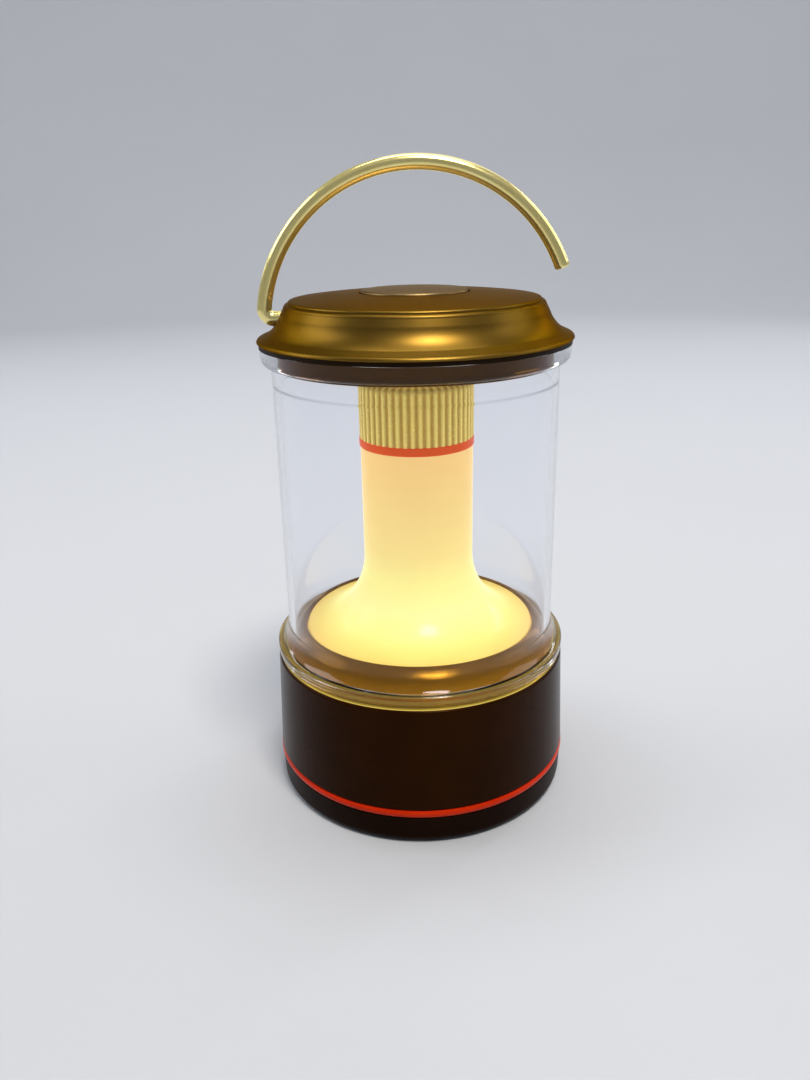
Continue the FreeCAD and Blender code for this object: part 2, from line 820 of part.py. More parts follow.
def make_globe_seat():
    """Plated ring that the globe's foot stands on, set back to leave a dark gap."""
    node(turn_outline("seat", [
        (size.chassis_radius + 0.3, size.shell_top),
        (size.globe_seat_radius, size.shell_top),
        (size.globe_seat_radius, size.globe_seat_top),
        (size.chassis_radius + 0.3, size.globe_seat_top),
    ]), "globe_seat")


def make_lid_gasket():
    """Black seal between the globe's flange and the lid."""
    inner = size.globe_radius + 0.2
    node(turn_outline("seal", [
        (inner, size.globe_top),
        (size.lid_gasket_radius, size.globe_top),
        (size.lid_gasket_radius, LID_SEAT),
        (inner, LID_SEAT),
    ]), "lid_gasket")


def make_upper_collar():
    """Spigot ring inside the globe's top, closed by a web that the lid is screwed to."""
    inner = size.collar_radius - size.collar_wall
    body = turn_outline("collar", [
        (size.web_bore, size.web_bottom),
        (inner, size.web_bottom),
        (inner, size.collar_bottom),
        (size.collar_radius - 0.4, size.collar_bottom),
        (size.collar_radius, size.collar_bottom + 0.4),
        (size.collar_radius, size.globe_top),
        (size.web_bore, size.globe_top),
    ])
    holes = rods_round("collar_hole", LID_SCREW_ANGLES, size.lid_screw_ring, SCREW_HOLE,
                       size.web_bottom - 1, size.globe_top + 1)
    node(cut("collar_drilled", body, holes), "upper_collar")


def make_lid():
    """Ogee lid: low dome with a stepped edge, hollow flare and rounded rim, thin walled inside."""
    neck = size.lid_crest_radius + 1.0
    hole = size.button_radius + size.button_gap
    body = turn_outline("lid_skin", [
        (size.lid_radius - 2.6, LID_SEAT),
        (size.lid_radius - 0.3, LID_SEAT),
        (size.lid_radius, LID_SEAT + 0.3, 0.3, 1),
        (size.lid_radius - 0.8, LID_SEAT + 1.0, 1.0, 1),
        (size.lid_radius - 2.6, size.globe_top + 2.85),
        (neck + 0.8, size.lid_crest - 3.2, 9.0, -1),
        (neck, size.lid_crest - 1.6),
        (size.lid_crest_radius + 0.35, size.lid_crest - 0.9, 0.9, 1),
        (size.lid_crest_radius, size.lid_crest - 0.8),
        (size.lid_crest_radius - 0.6, size.lid_crest - 0.2, 0.6, 1),
        (hole + 0.3, size.lid_crest + size.lid_crown, size.lid_dome, 1),
        (hole, size.lid_crest + size.lid_crown - 0.2),
        (hole, CREST_UNDERSIDE),
        (size.lid_crest_radius - 1.2, CREST_UNDERSIDE),
        (size.lid_crest_radius - 1.2, size.lid_crest - 2.6),
        (neck - 0.7, size.lid_crest - 4.0),
        (size.lid_radius - 2.6, LID_SEAT + 0.4),
    ])
    bosses = rods_round("lid_boss", LID_SCREW_ANGLES, size.lid_screw_ring, size.lid_boss_radius,
                        size.globe_top, CREST_UNDERSIDE + 0.3)
    bush_end = size.bush_start + size.bush_length
    saddle = block("bush_saddle", -bush_end, -size.bush_start, Size(-3.6, "-3.6"), Size(3.6, "3.6"),
                   size.hook_pivot - size.bush_radius - 1.0, CREST_UNDERSIDE + 0.3)
    pilots = rods_round("lid_pilot", LID_SCREW_ANGLES, size.lid_screw_ring, SCREW_PILOT,
                        size.globe_top - 1, size.globe_top + 5.5)
    bush_bore = lying_rod("bush_bore", size.bush_radius + 0.05, bush_end + 0.5, size.bush_length + 1)
    entry = lying_rod("hook_entry", size.hook_wire + size.hook_gap, size.lid_radius, 8.0)
    solid = join("lid_with_bosses", [body, saddle] + bosses)
    node(cut("lid_drilled", solid, pilots + [bush_bore, entry]), "lid")


def lying_rod(name, radius, start, length):
    """A round rod on the hook's axis, from -start towards the lid's centre."""
    feature = doc.addObject("Part::Cylinder", name)
    bind(feature, "Radius", radius)
    bind(feature, "Height", length)
    feature.Placement.Rotation = FreeCAD.Rotation(FreeCAD.Vector(0, 1, 0), 90)
    bind(feature, "Placement.Base.x", -start)
    bind(feature, "Placement.Base.z", size.hook_pivot)
    return feature


def make_button():
    """Domed push button with its retaining flange and the stem that reaches the switch."""
    flange_top = CREST_UNDERSIDE - 0.4
    flange_low = flange_top - 0.8
    dome_edge = size.button_radius - size.button_round
    node(turn_outline("push_button", [
        (0, size.stem_bottom),
        (size.stem_radius, size.stem_bottom),
        (size.stem_radius, flange_low),
        (size.button_flange, flange_low),
        (size.button_flange, flange_top),
        (size.button_radius, flange_top),
        (size.button_radius, size.button_top - size.button_round),
        (dome_edge, size.button_top, size.button_round, 1),
        (0, size.button_top + crown_rise(size.button_dome, dome_edge), size.button_dome, 1),
    ]), "button")


def make_switch():
    """Switch board on the collar's web, the switch on it and the plunger the button pushes."""
    board = rod("switch_disc", size.switch_board_radius, size.globe_top, SWITCH_BOARD_TOP)
    node(board, "switch_board")
    half = size.switch_size * 0.5
    top = SWITCH_BOARD_TOP + size.switch_height
    case = block("switch_case", -half, half, -half, half, SWITCH_BOARD_TOP, top)
    well = rod("switch_well", size.plunger_radius + 0.1, SWITCH_BOARD_TOP + 0.4, top + 1)
    node(cut("switch_bored", case, [well]), "tact_switch")
    node(rod("plunger", size.plunger_radius, SWITCH_BOARD_TOP + 1.4, size.stem_bottom),
         "switch_plunger")


def make_wires():
    """Two straight leads up the column, from the LED board to the switch board."""
    for name, side in (("left", -1), ("right", 1)):
        node(rod(f"{name}_lead", size.wire_radius, BOARD_TOP, size.globe_top, size.wire_offset * side),
             f"switch_wire_{name}")


def screws(name, angles, ring, seat, tip):
    """A ring of screws driven upwards: head below the seat, shank up to the tip."""
    pieces = []
    for index, angle in enumerate(angles, start=1):
        across, along = around(ring, angle)
        head = rod(f"{name}_head_{index}", size.screw_head_radius, seat - size.screw_head_height, seat,
                   across, along)
        shank = rod(f"{name}_shank_{index}", size.screw_radius, seat, tip, across, along)
        pieces.append(join(f"{name}_{index}", [head, shank]))
    return group(f"{name}_set", pieces)


def make_screws():
    node(screws("base_screw", BASE_SCREW_ANGLES, size.base_screw_ring,
                size.shell_top - size.flange_thickness, size.diffuser_foot - 1.2), "base_screws")
    node(screws("lid_screw", LID_SCREW_ANGLES, size.lid_screw_ring, size.web_bottom,
                size.globe_top + 4.8), "lid_screws")


def make_hook():
    """Carry hook: wire bent from the pivot through a tight elbow into one long arc."""
    curve, elbow = number(size.hook_curve), number(size.hook_elbow)
    pivot = number(size.hook_pivot)
    shift = number(size.hook_shift)
    centre = FreeCAD.Vector(shift, pivot - number(size.hook_drop), 0)
    rise = elbow + number(size.hook_drop)
    bend = FreeCAD.Vector(shift - math.sqrt((curve - elbow) ** 2 - rise ** 2), pivot + elbow, 0)
    outward = (bend - centre).normalize()
    meeting = math.atan2(outward.y, outward.x)
    tip = math.asin((number(size.hook_drop) + number(size.hook_end_rise)) / curve)
    body = new_body("hook_wire_body")
    route = new_sketch(body, "hook_route", "XZ_Plane")
    root = FreeCAD.Vector(-number(size.hook_root), pivot, 0)
    straight = route.addGeometry(Part.LineSegment(root, FreeCAD.Vector(bend.x, pivot, 0)))
    up = FreeCAD.Vector(0, 0, 1)
    turn = route.addGeometry(Part.ArcOfCircle(Part.Circle(bend, up, elbow), meeting, 1.5 * math.pi))
    bow = route.addGeometry(Part.ArcOfCircle(Part.Circle(centre, up, curve), tip, meeting))
    for first, first_end, second, second_end in ((straight, 2, turn, 2), (turn, 1, bow, 2)):
        route.addConstraint(Sketcher.Constraint("Tangent", first, first_end, second, second_end))
    route.addConstraint(Sketcher.Constraint("Horizontal", straight))
    pin_point(route, straight, 1, -size.hook_root, size.hook_pivot)
    pin_point(route, bow, 3, size.hook_shift, size.hook_pivot - size.hook_drop)
    add_bound(route, Sketcher.Constraint("Radius", turn, elbow), size.hook_elbow)
    add_bound(route, Sketcher.Constraint("Radius", bow, curve), size.hook_curve)
    rise_end = size.hook_pivot + size.hook_end_rise
    add_bound(route, Sketcher.Constraint("DistanceY", -1, 1, bow, 1, number(rise_end)), rise_end)
    section = new_sketch(body, "hook_section", "YZ_Plane", -size.hook_root)
    draw_circle(section, 0, size.hook_pivot, size.hook_wire)
    doc.recompute()
    wire = add_feature(body, "AdditivePipe", "hook_bent", section)
    wire.Spine = (route, [f"Edge{index}" for index in (1, 2, 3)])
    node(body, "hook")
    bush = cut("bush_bored", lying_rod("bush_blank", size.bush_radius,
                                       size.bush_start + size.bush_length, size.bush_length),
               [lying_rod("bush_hole", size.hook_wire + 0.05,
                          size.bush_start + size.bush_length + 1, size.bush_length + 2)])
    node(bush, "hook_bush")
    clip_outer = size.bush_start - 0.3
    clip = cut("clip_bored", lying_rod("clip_blank", size.clip_radius, clip_outer, size.clip_thickness),
               [lying_rod("clip_hole", size.hook_wire + 0.02, clip_outer + 1, size.clip_thickness + 2)])
    node(clip, "hook_clip")


make_base_cover()
make_red_ring()
make_battery_cradle()
make_cells()
make_contacts()
make_body_shell()
make_leaf_contacts()
make_chassis()
make_light_board()
make_bezel()
make_diffuser()
make_column_band()
make_mantle_cap()
make_globe_seat()
make_globe()
make_upper_collar()
make_lid_gasket()
make_lid()
make_button()
make_switch()
make_wires()
make_screws()
make_hook()
doc.recompute()

# Every object has to be sound before anything is written.
for feature in doc.Objects:
    if {"Invalid", "Error"} & set(feature.State):
        raise RuntimeError(f"{feature.Label}: {feature.State}")
for feature in nodes:
    if feature.Shape.isNull() or not feature.Shape.isValid() or not feature.Shape.Solids:
        raise RuntimeError(f"{feature.Label}: bad shape")

os.makedirs("parts", exist_ok=True)
for feature in nodes:
    feature.Shape.exportStep(f"parts/{feature.Label}.step")
    print(f"{feature.Label}: {len(feature.Shape.Solids)} solid(s), {feature.Shape.Volume:.1f} mm3")
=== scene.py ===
"""Looks of a small battery camping lantern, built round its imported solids.

The round pieces are turned again from fine half sections, at the sizes of the solids, and every
piece gets its own finish. Sizes are in millimetres and become metres as they are drawn.
"""

import logging
import math
from collections.abc import Sequence
from dataclasses import dataclass, field
from enum import Enum

import bmesh
import bpy
from mathutils import Matrix, Vector


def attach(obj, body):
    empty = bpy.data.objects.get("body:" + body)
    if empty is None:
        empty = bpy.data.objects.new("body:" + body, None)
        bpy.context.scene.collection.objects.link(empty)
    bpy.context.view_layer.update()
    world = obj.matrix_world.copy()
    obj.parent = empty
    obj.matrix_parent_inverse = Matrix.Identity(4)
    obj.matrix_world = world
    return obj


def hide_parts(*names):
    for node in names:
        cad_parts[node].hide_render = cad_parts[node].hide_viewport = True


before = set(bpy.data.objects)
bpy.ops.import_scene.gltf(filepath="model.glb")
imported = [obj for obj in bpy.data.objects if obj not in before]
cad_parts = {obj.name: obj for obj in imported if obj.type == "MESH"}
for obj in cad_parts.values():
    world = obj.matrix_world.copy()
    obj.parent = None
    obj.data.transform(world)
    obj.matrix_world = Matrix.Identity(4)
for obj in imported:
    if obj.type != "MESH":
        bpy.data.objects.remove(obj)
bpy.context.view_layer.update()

# One millimetre in metres.
MM = 0.001
# How far from its ends a straight stretch is held, in millimetres.
HOLDING = 0.15
# How many holding distances long a stretch has to be, to be held.
HELD_FROM = 5
# Corners closer than the first become one, and edges shorter than the second go, in metres.
WELD = 1e-7
SLIVER = 1e-8
# A face whose normal rises less than this looks down.
LOOKS_DOWN = -0.5
DRILL_SIDES = 48
log = logging.getLogger("lantern")

Colour = tuple[float, float, float]
Axes = tuple[float, float, float]


class Body(Enum):
    """The bodies of the lantern that pieces ride on."""

    FIXED = "lantern_body"
    HOOK = "hook"
    BUTTON = "power_button"
    BASE = "base"


class Bow(Enum):
    """Which way an arc bends on an outline that is drawn anticlockwise."""

    PROUD = 1.0
    HOLLOW = -1.0


class Outline:
    """Half section of a turned piece, drawn corner by corner in the XZ plane."""

    def __init__(self, radius: float, height: float) -> None:
        """Start an outline.

        Args:
            radius: Distance of the first corner from the axis, in millimetres.
            height: Height of the first corner, in millimetres.
        """
        self.mesh = bmesh.new()
        self.first = self.mesh.verts.new((radius * MM, 0.0, height * MM))
        self.tip = self.first

    def line(self, radius: float, height: float) -> "Outline":
        """Draw a straight stretch, held near both ends so that it stays flat next to a bend.

        Args:
            radius: Where the stretch ends, from the axis.
            height: Where the stretch ends, from the table.

        Returns:
            This outline, for the next stretch.
        """
        start = self.tip.co.copy()
        end = Vector((radius * MM, 0.0, height * MM))
        hold = (end - start).normalized() * HOLDING * MM
        long_enough = (end - start).length > HELD_FROM * hold.length
        for stop in [start + hold, end - hold, end] if long_enough else [end]:
            self.tip = bmesh.ops.extrude_vert_indiv(self.mesh, verts=[self.tip])["verts"][0]
            self.tip.co = stop
        return self

    def arc(self, radius: float, height: float, curve: float, bow: Bow, steps: int = 8) -> "Outline":
        """Draw a round stretch.

        Args:
            radius: Where the stretch ends, from the axis.
            height: Where the stretch ends, from the table.
            curve: Radius of the arc.
            bow: Whether the arc stands proud or is hollow.
            steps: Number of short edges in the arc.

        Returns:
            This outline, for the next stretch.
        """
        start = self.tip.co.copy()
        end = Vector((radius * MM, 0.0, height * MM))
        chord = end - start
        rise = math.sqrt(max((curve * MM) ** 2 - chord.length_squared / 4, 0.0))
        left = Vector((-chord.z, 0.0, chord.x)).normalized()
        centre = (start + end) / 2 + left * rise * bow.value
        spun = bmesh.ops.spin(
            self.mesh, geom=[self.tip], cent=centre, axis=(0.0, -bow.value, 0.0),
            angle=(start - centre).angle(end - centre), steps=steps)
        self.tip = next(v for v in spun["geom_last"] if isinstance(v, bmesh.types.BMVert))
        self.tip.co = end
        return self

    def close(self) -> "Outline":
        """Join the last corner to the first."""
        bmesh.ops.contextual_create(self.mesh, geom=[self.tip, self.first])
        return self

    def turn(self, steps: int = 180) -> bmesh.types.BMesh:
        """Turn the outline once round the upright axis.

        Args:
            steps: Number of flats round the piece.

        Returns:
            The turned mesh, with its faces pointing outwards.
        """
        geom = self.mesh.verts[:] + self.mesh.edges[:]
        bmesh.ops.spin(self.mesh, geom=geom, cent=(0, 0, 0), axis=(0, 0, 1),
                       angle=math.tau, steps=steps, use_merge=True)
        tidy(self.mesh)
        return self.mesh


def tidy(mesh: bmesh.types.BMesh) -> None:
    """Close seams and poles and point the faces outwards.

    Args:
        mesh: The mesh to tidy.
    """
    bmesh.ops.remove_doubles(mesh, verts=mesh.verts, dist=WELD)
    bmesh.ops.dissolve_degenerate(mesh, edges=mesh.edges, dist=SLIVER)
    bmesh.ops.recalc_face_normals(mesh, faces=mesh.faces)


class Graph:
    """The nodes of one material, with short calls for the few kinds that the lantern uses."""

    NOISE_LOW = 0.3
    NOISE_HIGH = 0.7
    # Brightness of the painted shade on the floor of a flute, and of the land between two flutes.
    FLUTE_LEVEL = 0.25
    LAND_LEVEL = 0.75

    def __init__(self, name: str) -> None:
        """Start a material with one main shader.

        Args:
            name: The material's name.
        """
        self.material = bpy.data.materials.new(name)
        self.material.use_nodes = True
        self.tree = self.material.node_tree
        self.shader = self.tree.nodes["Principled BSDF"]
        self.output = self.tree.nodes["Material Output"]
        self.place = self.tree.nodes.new("ShaderNodeTexCoord").outputs["Object"]

    def join(self, source: bpy.types.NodeSocket, target: bpy.types.NodeSocket) -> None:
        """Link one socket to another."""
        self.tree.links.new(source, target)

    def feed(self, value: object, socket: bpy.types.NodeSocket) -> None:
        """Link an input to another socket, or set its value.

        Args:
            value: A socket or a plain value.
            socket: The input.
        """
        if isinstance(value, bpy.types.NodeSocket):
            self.join(value, socket)
        else:
            socket.default_value = value

    def add(self, kind: str, **inputs: object) -> bpy.types.Node:
        """Add a node and feed its inputs.

        Args:
            kind: The node's type.
            **inputs: Values or sockets by input name, with spaces written as underscores.

        Returns:
            The new node.
        """
        node = self.tree.nodes.new(kind)
        for name, value in inputs.items():
            self.feed(value, node.inputs[name.replace("_", " ")])
        return node

    def reckon(self, kind: str, operation: str, *values: object) -> bpy.types.Node:
        """Add a node that works out a number or a vector.

        Args:
            kind: The node's type.
            operation: What it does.
            *values: Values or sockets, in the order of its inputs.

        Returns:
            The new node.
        """
        node = self.add(kind)
        node.operation = operation
        for value, socket in zip(values, node.inputs):
            self.feed(value, socket)
        return node

    def noise(self, scale: float, stretch: Axes = (1.0, 1.0, 1.0),
              detail: float = 3.0) -> bpy.types.NodeSocket:
        """Cloudy pattern fixed to the piece.

        Args:
            scale: Clouds to the metre.
            stretch: How much denser the pattern is along each axis.
            detail: How many finer layers it has.

        Returns:
            The pattern's strength, mostly between NOISE_LOW and NOISE_HIGH.
        """
        spread = self.add("ShaderNodeMapping", Vector=self.place, Scale=stretch)
        return self.add("ShaderNodeTexNoise", Vector=spread.outputs["Vector"], Scale=scale,
                        Detail=detail).outputs["Fac"]

    def ramp(self, factor: bpy.types.NodeSocket,
             stops: Sequence[tuple[float, Colour]]) -> bpy.types.NodeSocket:
        """Colours along a factor.

        Args:
            factor: What runs along the ramp.
            stops: Places on the ramp and their colours.

        Returns:
            The colour.
        """
        node = self.add("ShaderNodeValToRGB", Fac=factor)
        points = node.color_ramp.elements
        while len(points) < len(stops):
            points.new(0.5)
        for point, (spot, colour) in zip(points, stops):
            point.position = spot
            point.color = (*colour, 1.0)
        return node.outputs["Color"]

    def spread(self, factor: bpy.types.NodeSocket, low: float, high: float, start: float,
               end: float) -> bpy.types.NodeSocket:
        """Map a factor from one range to another.

        Args:
            factor: What is mapped.
            low: Where the factor's range starts.
            high: Where the factor's range ends.
            start: Value at the low end.
            end: Value at the high end.

        Returns:
            The mapped value.
        """
        return self.add("ShaderNodeMapRange", Value=factor, From_Min=low, From_Max=high, To_Min=start,
                        To_Max=end).outputs["Result"]

    def painted_flute_shade(self, count: int) -> bpy.types.NodeSocket:
        """Painted shade that follows flutes round the upright axis: darker in each flute, lighter on the
        lands.

        Args:
            count: Number of flutes.

        Returns:
            FLUTE_LEVEL, painted shade, on the floor of a flute and LAND_LEVEL on the land between two.
        """
        parts = self.add("ShaderNodeSeparateXYZ", Vector=self.place).outputs
        turn = self.reckon("ShaderNodeMath", "ARCTAN2", parts["Y"], parts["X"])
        many = self.reckon("ShaderNodeMath", "MULTIPLY", turn.outputs["Value"], count)
        wave = self.reckon("ShaderNodeMath", "COSINE", many.outputs["Value"])
        return self.spread(wave.outputs["Value"], -1.0, 1.0, self.LAND_LEVEL, self.FLUTE_LEVEL)

    def times(self, one: bpy.types.NodeSocket, other: bpy.types.NodeSocket) -> bpy.types.NodeSocket:
        """Multiply two colours, channel by channel.

        Args:
            one: The first colour.
            other: The second colour.

        Returns:
            Their product.
        """
        return self.reckon("ShaderNodeVectorMath", "MULTIPLY", one, other).outputs["Vector"]

    def bands(self, stops: Sequence[tuple[float, float]]) -> bpy.types.NodeSocket:
        """Brightness that changes with the height, used for painted bands of light and shade.

        Args:
            stops: Heights in millimetres, from the lowest up, and the brightness at each.

        Returns:
            The brightness.
        """
        height = self.add("ShaderNodeSeparateXYZ", Vector=self.place).outputs["Z"]
        low, high = stops[0][0], stops[-1][0]
        up = self.spread(height, low * MM, high * MM, 0.0, 1.0)
        return self.ramp(up, [((spot - low) / (high - low), (level, level, level)) for spot, level in stops])

    def bump(self, height: bpy.types.NodeSocket, strength: float, depth: float) -> None:
        """Roughen the surface.

        Args:
            height: The relief.
            strength: How much of it shows.
            depth: Its depth in millimetres.
        """
        node = self.add("ShaderNodeBump", Height=height, Strength=strength, Distance=depth * MM)
        self.join(node.outputs["Normal"], self.shader.inputs["Normal"])


@dataclass(frozen=True)
class Finish:
    """A moulded, painted or plated surface whose shade and gloss drift a little; it can also carry painted
    flute shade, painted bands of light and shade by height, and a painted glow.
    """

    name: str
    dark: Colour
    light: Colour
    gloss: tuple[float, float]
    metal: float = 0.0
    drift: float = 90.0
    grain: float = 2600.0
    grain_detail: float = 2.0
    relief: float = 0.06
    relief_depth: float = 0.05
    stretch: Axes = (1.0, 1.0, 1.0)
    shine: float = 0.5
    tint: Colour = (1.0, 1.0, 1.0)
    # Painted glow: emission that makes a piece shine though it is no lamp.
    painted_glow: float = 0.0
    # Number of flutes to paint shade into, darker in each groove; 0 for none.
    flutes: int = 0
    # Painted light and shade: brightness stops by height that multiply the shade.
    bands: tuple[tuple[float, float], ...] = ()

    def material(self) -> bpy.types.Material:
        """Find this finish's material, or make it on first use.

        Returns:
            The material.
        """
        found = bpy.data.materials.get(self.name)
        if found:
            return found
        graph = Graph(self.name)
        self.paint(graph)
        return graph.material

    def paint(self, graph: Graph) -> None:
        """Set up the nodes.

        Args:
            graph: The material's nodes.
        """
        low, high = graph.NOISE_LOW, graph.NOISE_HIGH
        fine = graph.noise(self.grain, self.stretch, self.grain_detail)
        shader = graph.shader.inputs
        # With flutes, the shade follows the painted flute shade in place of the random drift.
        drift = graph.painted_flute_shade(self.flutes) if self.flutes else graph.noise(self.drift)
        shade = graph.ramp(drift, [(low, self.dark), (high, self.light)])
        # Painted bands of light and shade by height.
        if self.bands:
            shade = graph.times(shade, graph.bands(self.bands))
        graph.join(shade, shader["Base Color"])
        graph.join(graph.spread(fine, low, high, *self.gloss), shader["Roughness"])
        shader["Metallic"].default_value = self.metal
        shader["Specular IOR Level"].default_value = self.shine
        shader["Specular Tint"].default_value = (*self.tint, 1.0)
        # Painted glow: the piece's own shade is emitted as light.
        if self.painted_glow:
            graph.join(shade, shader["Emission Color"])
            shader["Emission Strength"].default_value = self.painted_glow
        if self.relief:
            graph.bump(fine, self.relief, self.relief_depth)


@dataclass(frozen=True)
class GlowFinish(Finish):
    """Opal plastic lit from below: brightest at the flare, creamier up the column and at the rim."""

    glow: float = 0.72
    foot: float = 43.4
    head: float = 89.2
    rim: float = 28.9
    rim_share: float = 0.74
    rim_tint: Colour = (0.68, 0.46, 0.24)
    climb: tuple[tuple[float, Colour], ...] = (
        (0.0, (0.92, 0.87, 0.19)),
        (0.16, (1.0, 1.0, 0.42)),
        (0.3, (1.0, 0.98, 0.36)),
        (0.45, (1.0, 0.81, 0.31)),
        (1.0, (1.05, 0.66, 0.26)),
    )

    def paint(self, graph: Graph) -> None:
        """Set up the nodes.

        Args:
            graph: The material's nodes.
        """
        super().paint(graph)
        parts = graph.add("ShaderNodeSeparateXYZ", Vector=graph.place).outputs
        flat = graph.add("ShaderNodeCombineXYZ", X=parts["X"], Y=parts["Y"]).outputs["Vector"]
        reach = graph.reckon("ShaderNodeVectorMath", "LENGTH", flat).outputs["Value"]
        up = graph.spread(parts["Z"], self.foot * MM, self.head * MM, 0.0, 1.0)
        along = graph.ramp(up, self.climb)
        outer = graph.spread(reach, self.rim_share * self.rim * MM, self.rim * MM, 0.0, 1.0)
        edge = graph.ramp(outer, [(0.0, (1.0, 1.0, 1.0)), (1.0, self.rim_tint)])
        graph.join(graph.times(along, edge), graph.shader.inputs["Emission Color"])
        graph.shader.inputs["Emission Strength"].default_value = self.glow


@dataclass(frozen=True)
class ClearFinish(Finish):
    """Clear polished plastic that lets the lamps through to what it holds."""

    bend: float = 1.49
    lets_through: Colour = (0.96, 0.97, 0.98)

    def paint(self, graph: Graph) -> None:
        """Set up the nodes.

        Args:
            graph: The material's nodes.
        """
        super().paint(graph)
        graph.shader.inputs["Transmission Weight"].default_value = 1.0
        graph.shader.inputs["IOR"].default_value = self.bend
        path = graph.add("ShaderNodeLightPath")
        through = graph.add("ShaderNodeBsdfTransparent", Color=(*self.lets_through, 1.0))
        blend = graph.add("ShaderNodeMixShader")
        graph.join(path.outputs["Is Shadow Ray"], blend.inputs[0])
        graph.join(graph.shader.outputs["BSDF"], blend.inputs[1])
        graph.join(through.outputs["BSDF"], blend.inputs[2])
        graph.join(blend.outputs["Shader"], graph.output.inputs["Surface"])


# Warm tint on the reflections of the dark plastics, the trim and the seal: painted warm colour of the light
# they reflect.
WARM = (1.0, 0.5, 0.2)
COVER_BLACK = Finish("satin_black", (0.006, 0.0018, 0.0008), (0.009, 0.003, 0.0014), (0.34, 0.44),
                     relief=0.1, shine=0.05, tint=WARM)
DRUM_BROWN = Finish("gloss_brown_black", (0.013, 0.0034, 0.0005), (0.02, 0.0056, 0.0009), (0.2, 0.28),
                    relief=0.03, shine=0.07, tint=WARM)
TRIM_RED = Finish("trim_orange_red", (0.58, 0.018, 0.001), (0.66, 0.026, 0.002), (0.25, 0.36),
                  shine=0.2, tint=WARM)
# Painted glow: emission brightens the red band, which is no lamp.
BAND_RED = Finish("band_red", (0.66, 0.07, 0.005), (0.74, 0.088, 0.007), (0.3, 0.4),
                  shine=0.2, painted_glow=0.5)
SEAL_RUBBER = Finish("seal_black", (0.005, 0.0035, 0.002), (0.009, 0.006, 0.004), (0.5, 0.65),
                     relief=0.15, shine=0.2, tint=WARM)
LID_BRONZE = Finish("satin_bronze_paint", (0.156, 0.088, 0.013), (0.18, 0.104, 0.018), (0.32, 0.4),
                    metal=1.0, grain=6000.0, relief=0.04, tint=(0.5, 0.37, 0.24))
BUTTON_BRONZE = Finish("satin_bronze_button", (0.2, 0.135, 0.06), (0.23, 0.155, 0.07), (0.34, 0.42),
                       metal=1.0, grain=6000.0, relief=0.04, tint=(0.6, 0.5, 0.42))
# Height bands paint light and shade: twice as bright at the foot for a painted golden reflection, darker at
# the top edge by the disc for painted shade.
BEZEL_BRONZE = Finish("warm_bronze_plate", (0.135, 0.058, 0.001), (0.15, 0.066, 0.002), (0.2, 0.24),
                      metal=0.4, relief=0.0, shine=0.2, tint=(1.0, 0.6, 0.15),
                      bands=((38.0, 2.0), (40.0, 1.5), (41.5, 0.95), (43.8, 0.82)))
# A darker copy of the bezel's plated bronze, on the same slot: painted shade and dark reflections under the
# lid.
COLLAR_BRONZE = Finish("deep_bronze", (0.13, 0.052, 0.003), (0.15, 0.062, 0.005), (0.08, 0.11),
                       metal=1.0, drift=120.0, relief=0.0, tint=(0.6, 0.4, 0.15))
# A brighter copy of the bezel's plated bronze, on the same slot, with a painted glow; its height bands paint
# a bright line at the lip, a dark gap above it and half brightness higher up.
SEAT_GOLD = Finish("bright_gold_seat", (0.78, 0.56, 0.1), (0.84, 0.62, 0.13), (0.14, 0.2),
                   metal=1.0, relief=0.0, painted_glow=0.3,
                   bands=((35.8, 1.0), (36.02, 1.0), (36.08, 0.2), (36.45, 0.2), (36.6, 0.55), (37.0, 0.55)))
# Painted shade in the flutes: ribs lighter on the lands and about half as bright in the grooves; a painted
# glow brightens the whole cap.
CAP_IVORY = Finish("champagne_ribs", (0.5, 0.32, 0.05), (0.98, 0.76, 0.2), (0.22, 0.28),
                   metal=0.45, relief=0.0, painted_glow=0.28, flutes=48)
# Partly the wire's own champagne tone, partly a painted warm reflection: the colour is pushed more golden
# than the steel.
WIRE_STEEL = Finish("bright_wire", (0.95, 0.8, 0.3), (0.99, 0.87, 0.38), (0.14, 0.22),
                    metal=0.85, grain=900.0, stretch=(0.3, 4.0, 4.0), relief=0.02)
OPAL = GlowFinish("lit_opal", (0.4, 0.29, 0.08), (0.44, 0.32, 0.1), (0.2, 0.26), relief=0.0, shine=0.16)
CLEAR = ClearFinish("clear_globe", (0.955, 0.962, 0.985), (0.97, 0.976, 0.995), (0.004, 0.016),
                    drift=30.0, grain=60.0, relief=0.008, tint=(0.3, 0.3, 0.34))
MOULDING = Finish("matt_black_moulding", (0.018, 0.018, 0.019), (0.03, 0.03, 0.031), (0.5, 0.64),
                  relief=0.18)
BOARD_GREEN = Finish("green_solder_mask", (0.01, 0.09, 0.03), (0.02, 0.13, 0.05), (0.25, 0.4), drift=400.0)
BOARD_WHITE = Finish("white_solder_mask", (0.72, 0.72, 0.69), (0.8, 0.8, 0.77), (0.28, 0.42), drift=400.0)
CASE_BLACK = Finish("matt_black_case", (0.02, 0.02, 0.021), (0.035, 0.035, 0.036), (0.45, 0.6), relief=0.15)
ZINC = Finish("zinc_plate", (0.48, 0.49, 0.5), (0.6, 0.61, 0.62), (0.25, 0.4), metal=1.0, drift=300.0)
JACKET = Finish("cell_jacket", (0.05, 0.065, 0.09), (0.07, 0.085, 0.115), (0.25, 0.38),
                metal=0.3, stretch=(4.0, 0.4, 4.0))
PHOSPHOR = Finish("led_phosphor", (0.85, 0.6, 0.1), (0.92, 0.68, 0.16), (0.3, 0.45), drift=900.0)
NICKEL = Finish("nickel_strip", (0.52, 0.49, 0.43), (0.64, 0.61, 0.55), (0.2, 0.36),
                metal=1.0, drift=250.0, stretch=(4.0, 4.0, 0.4))
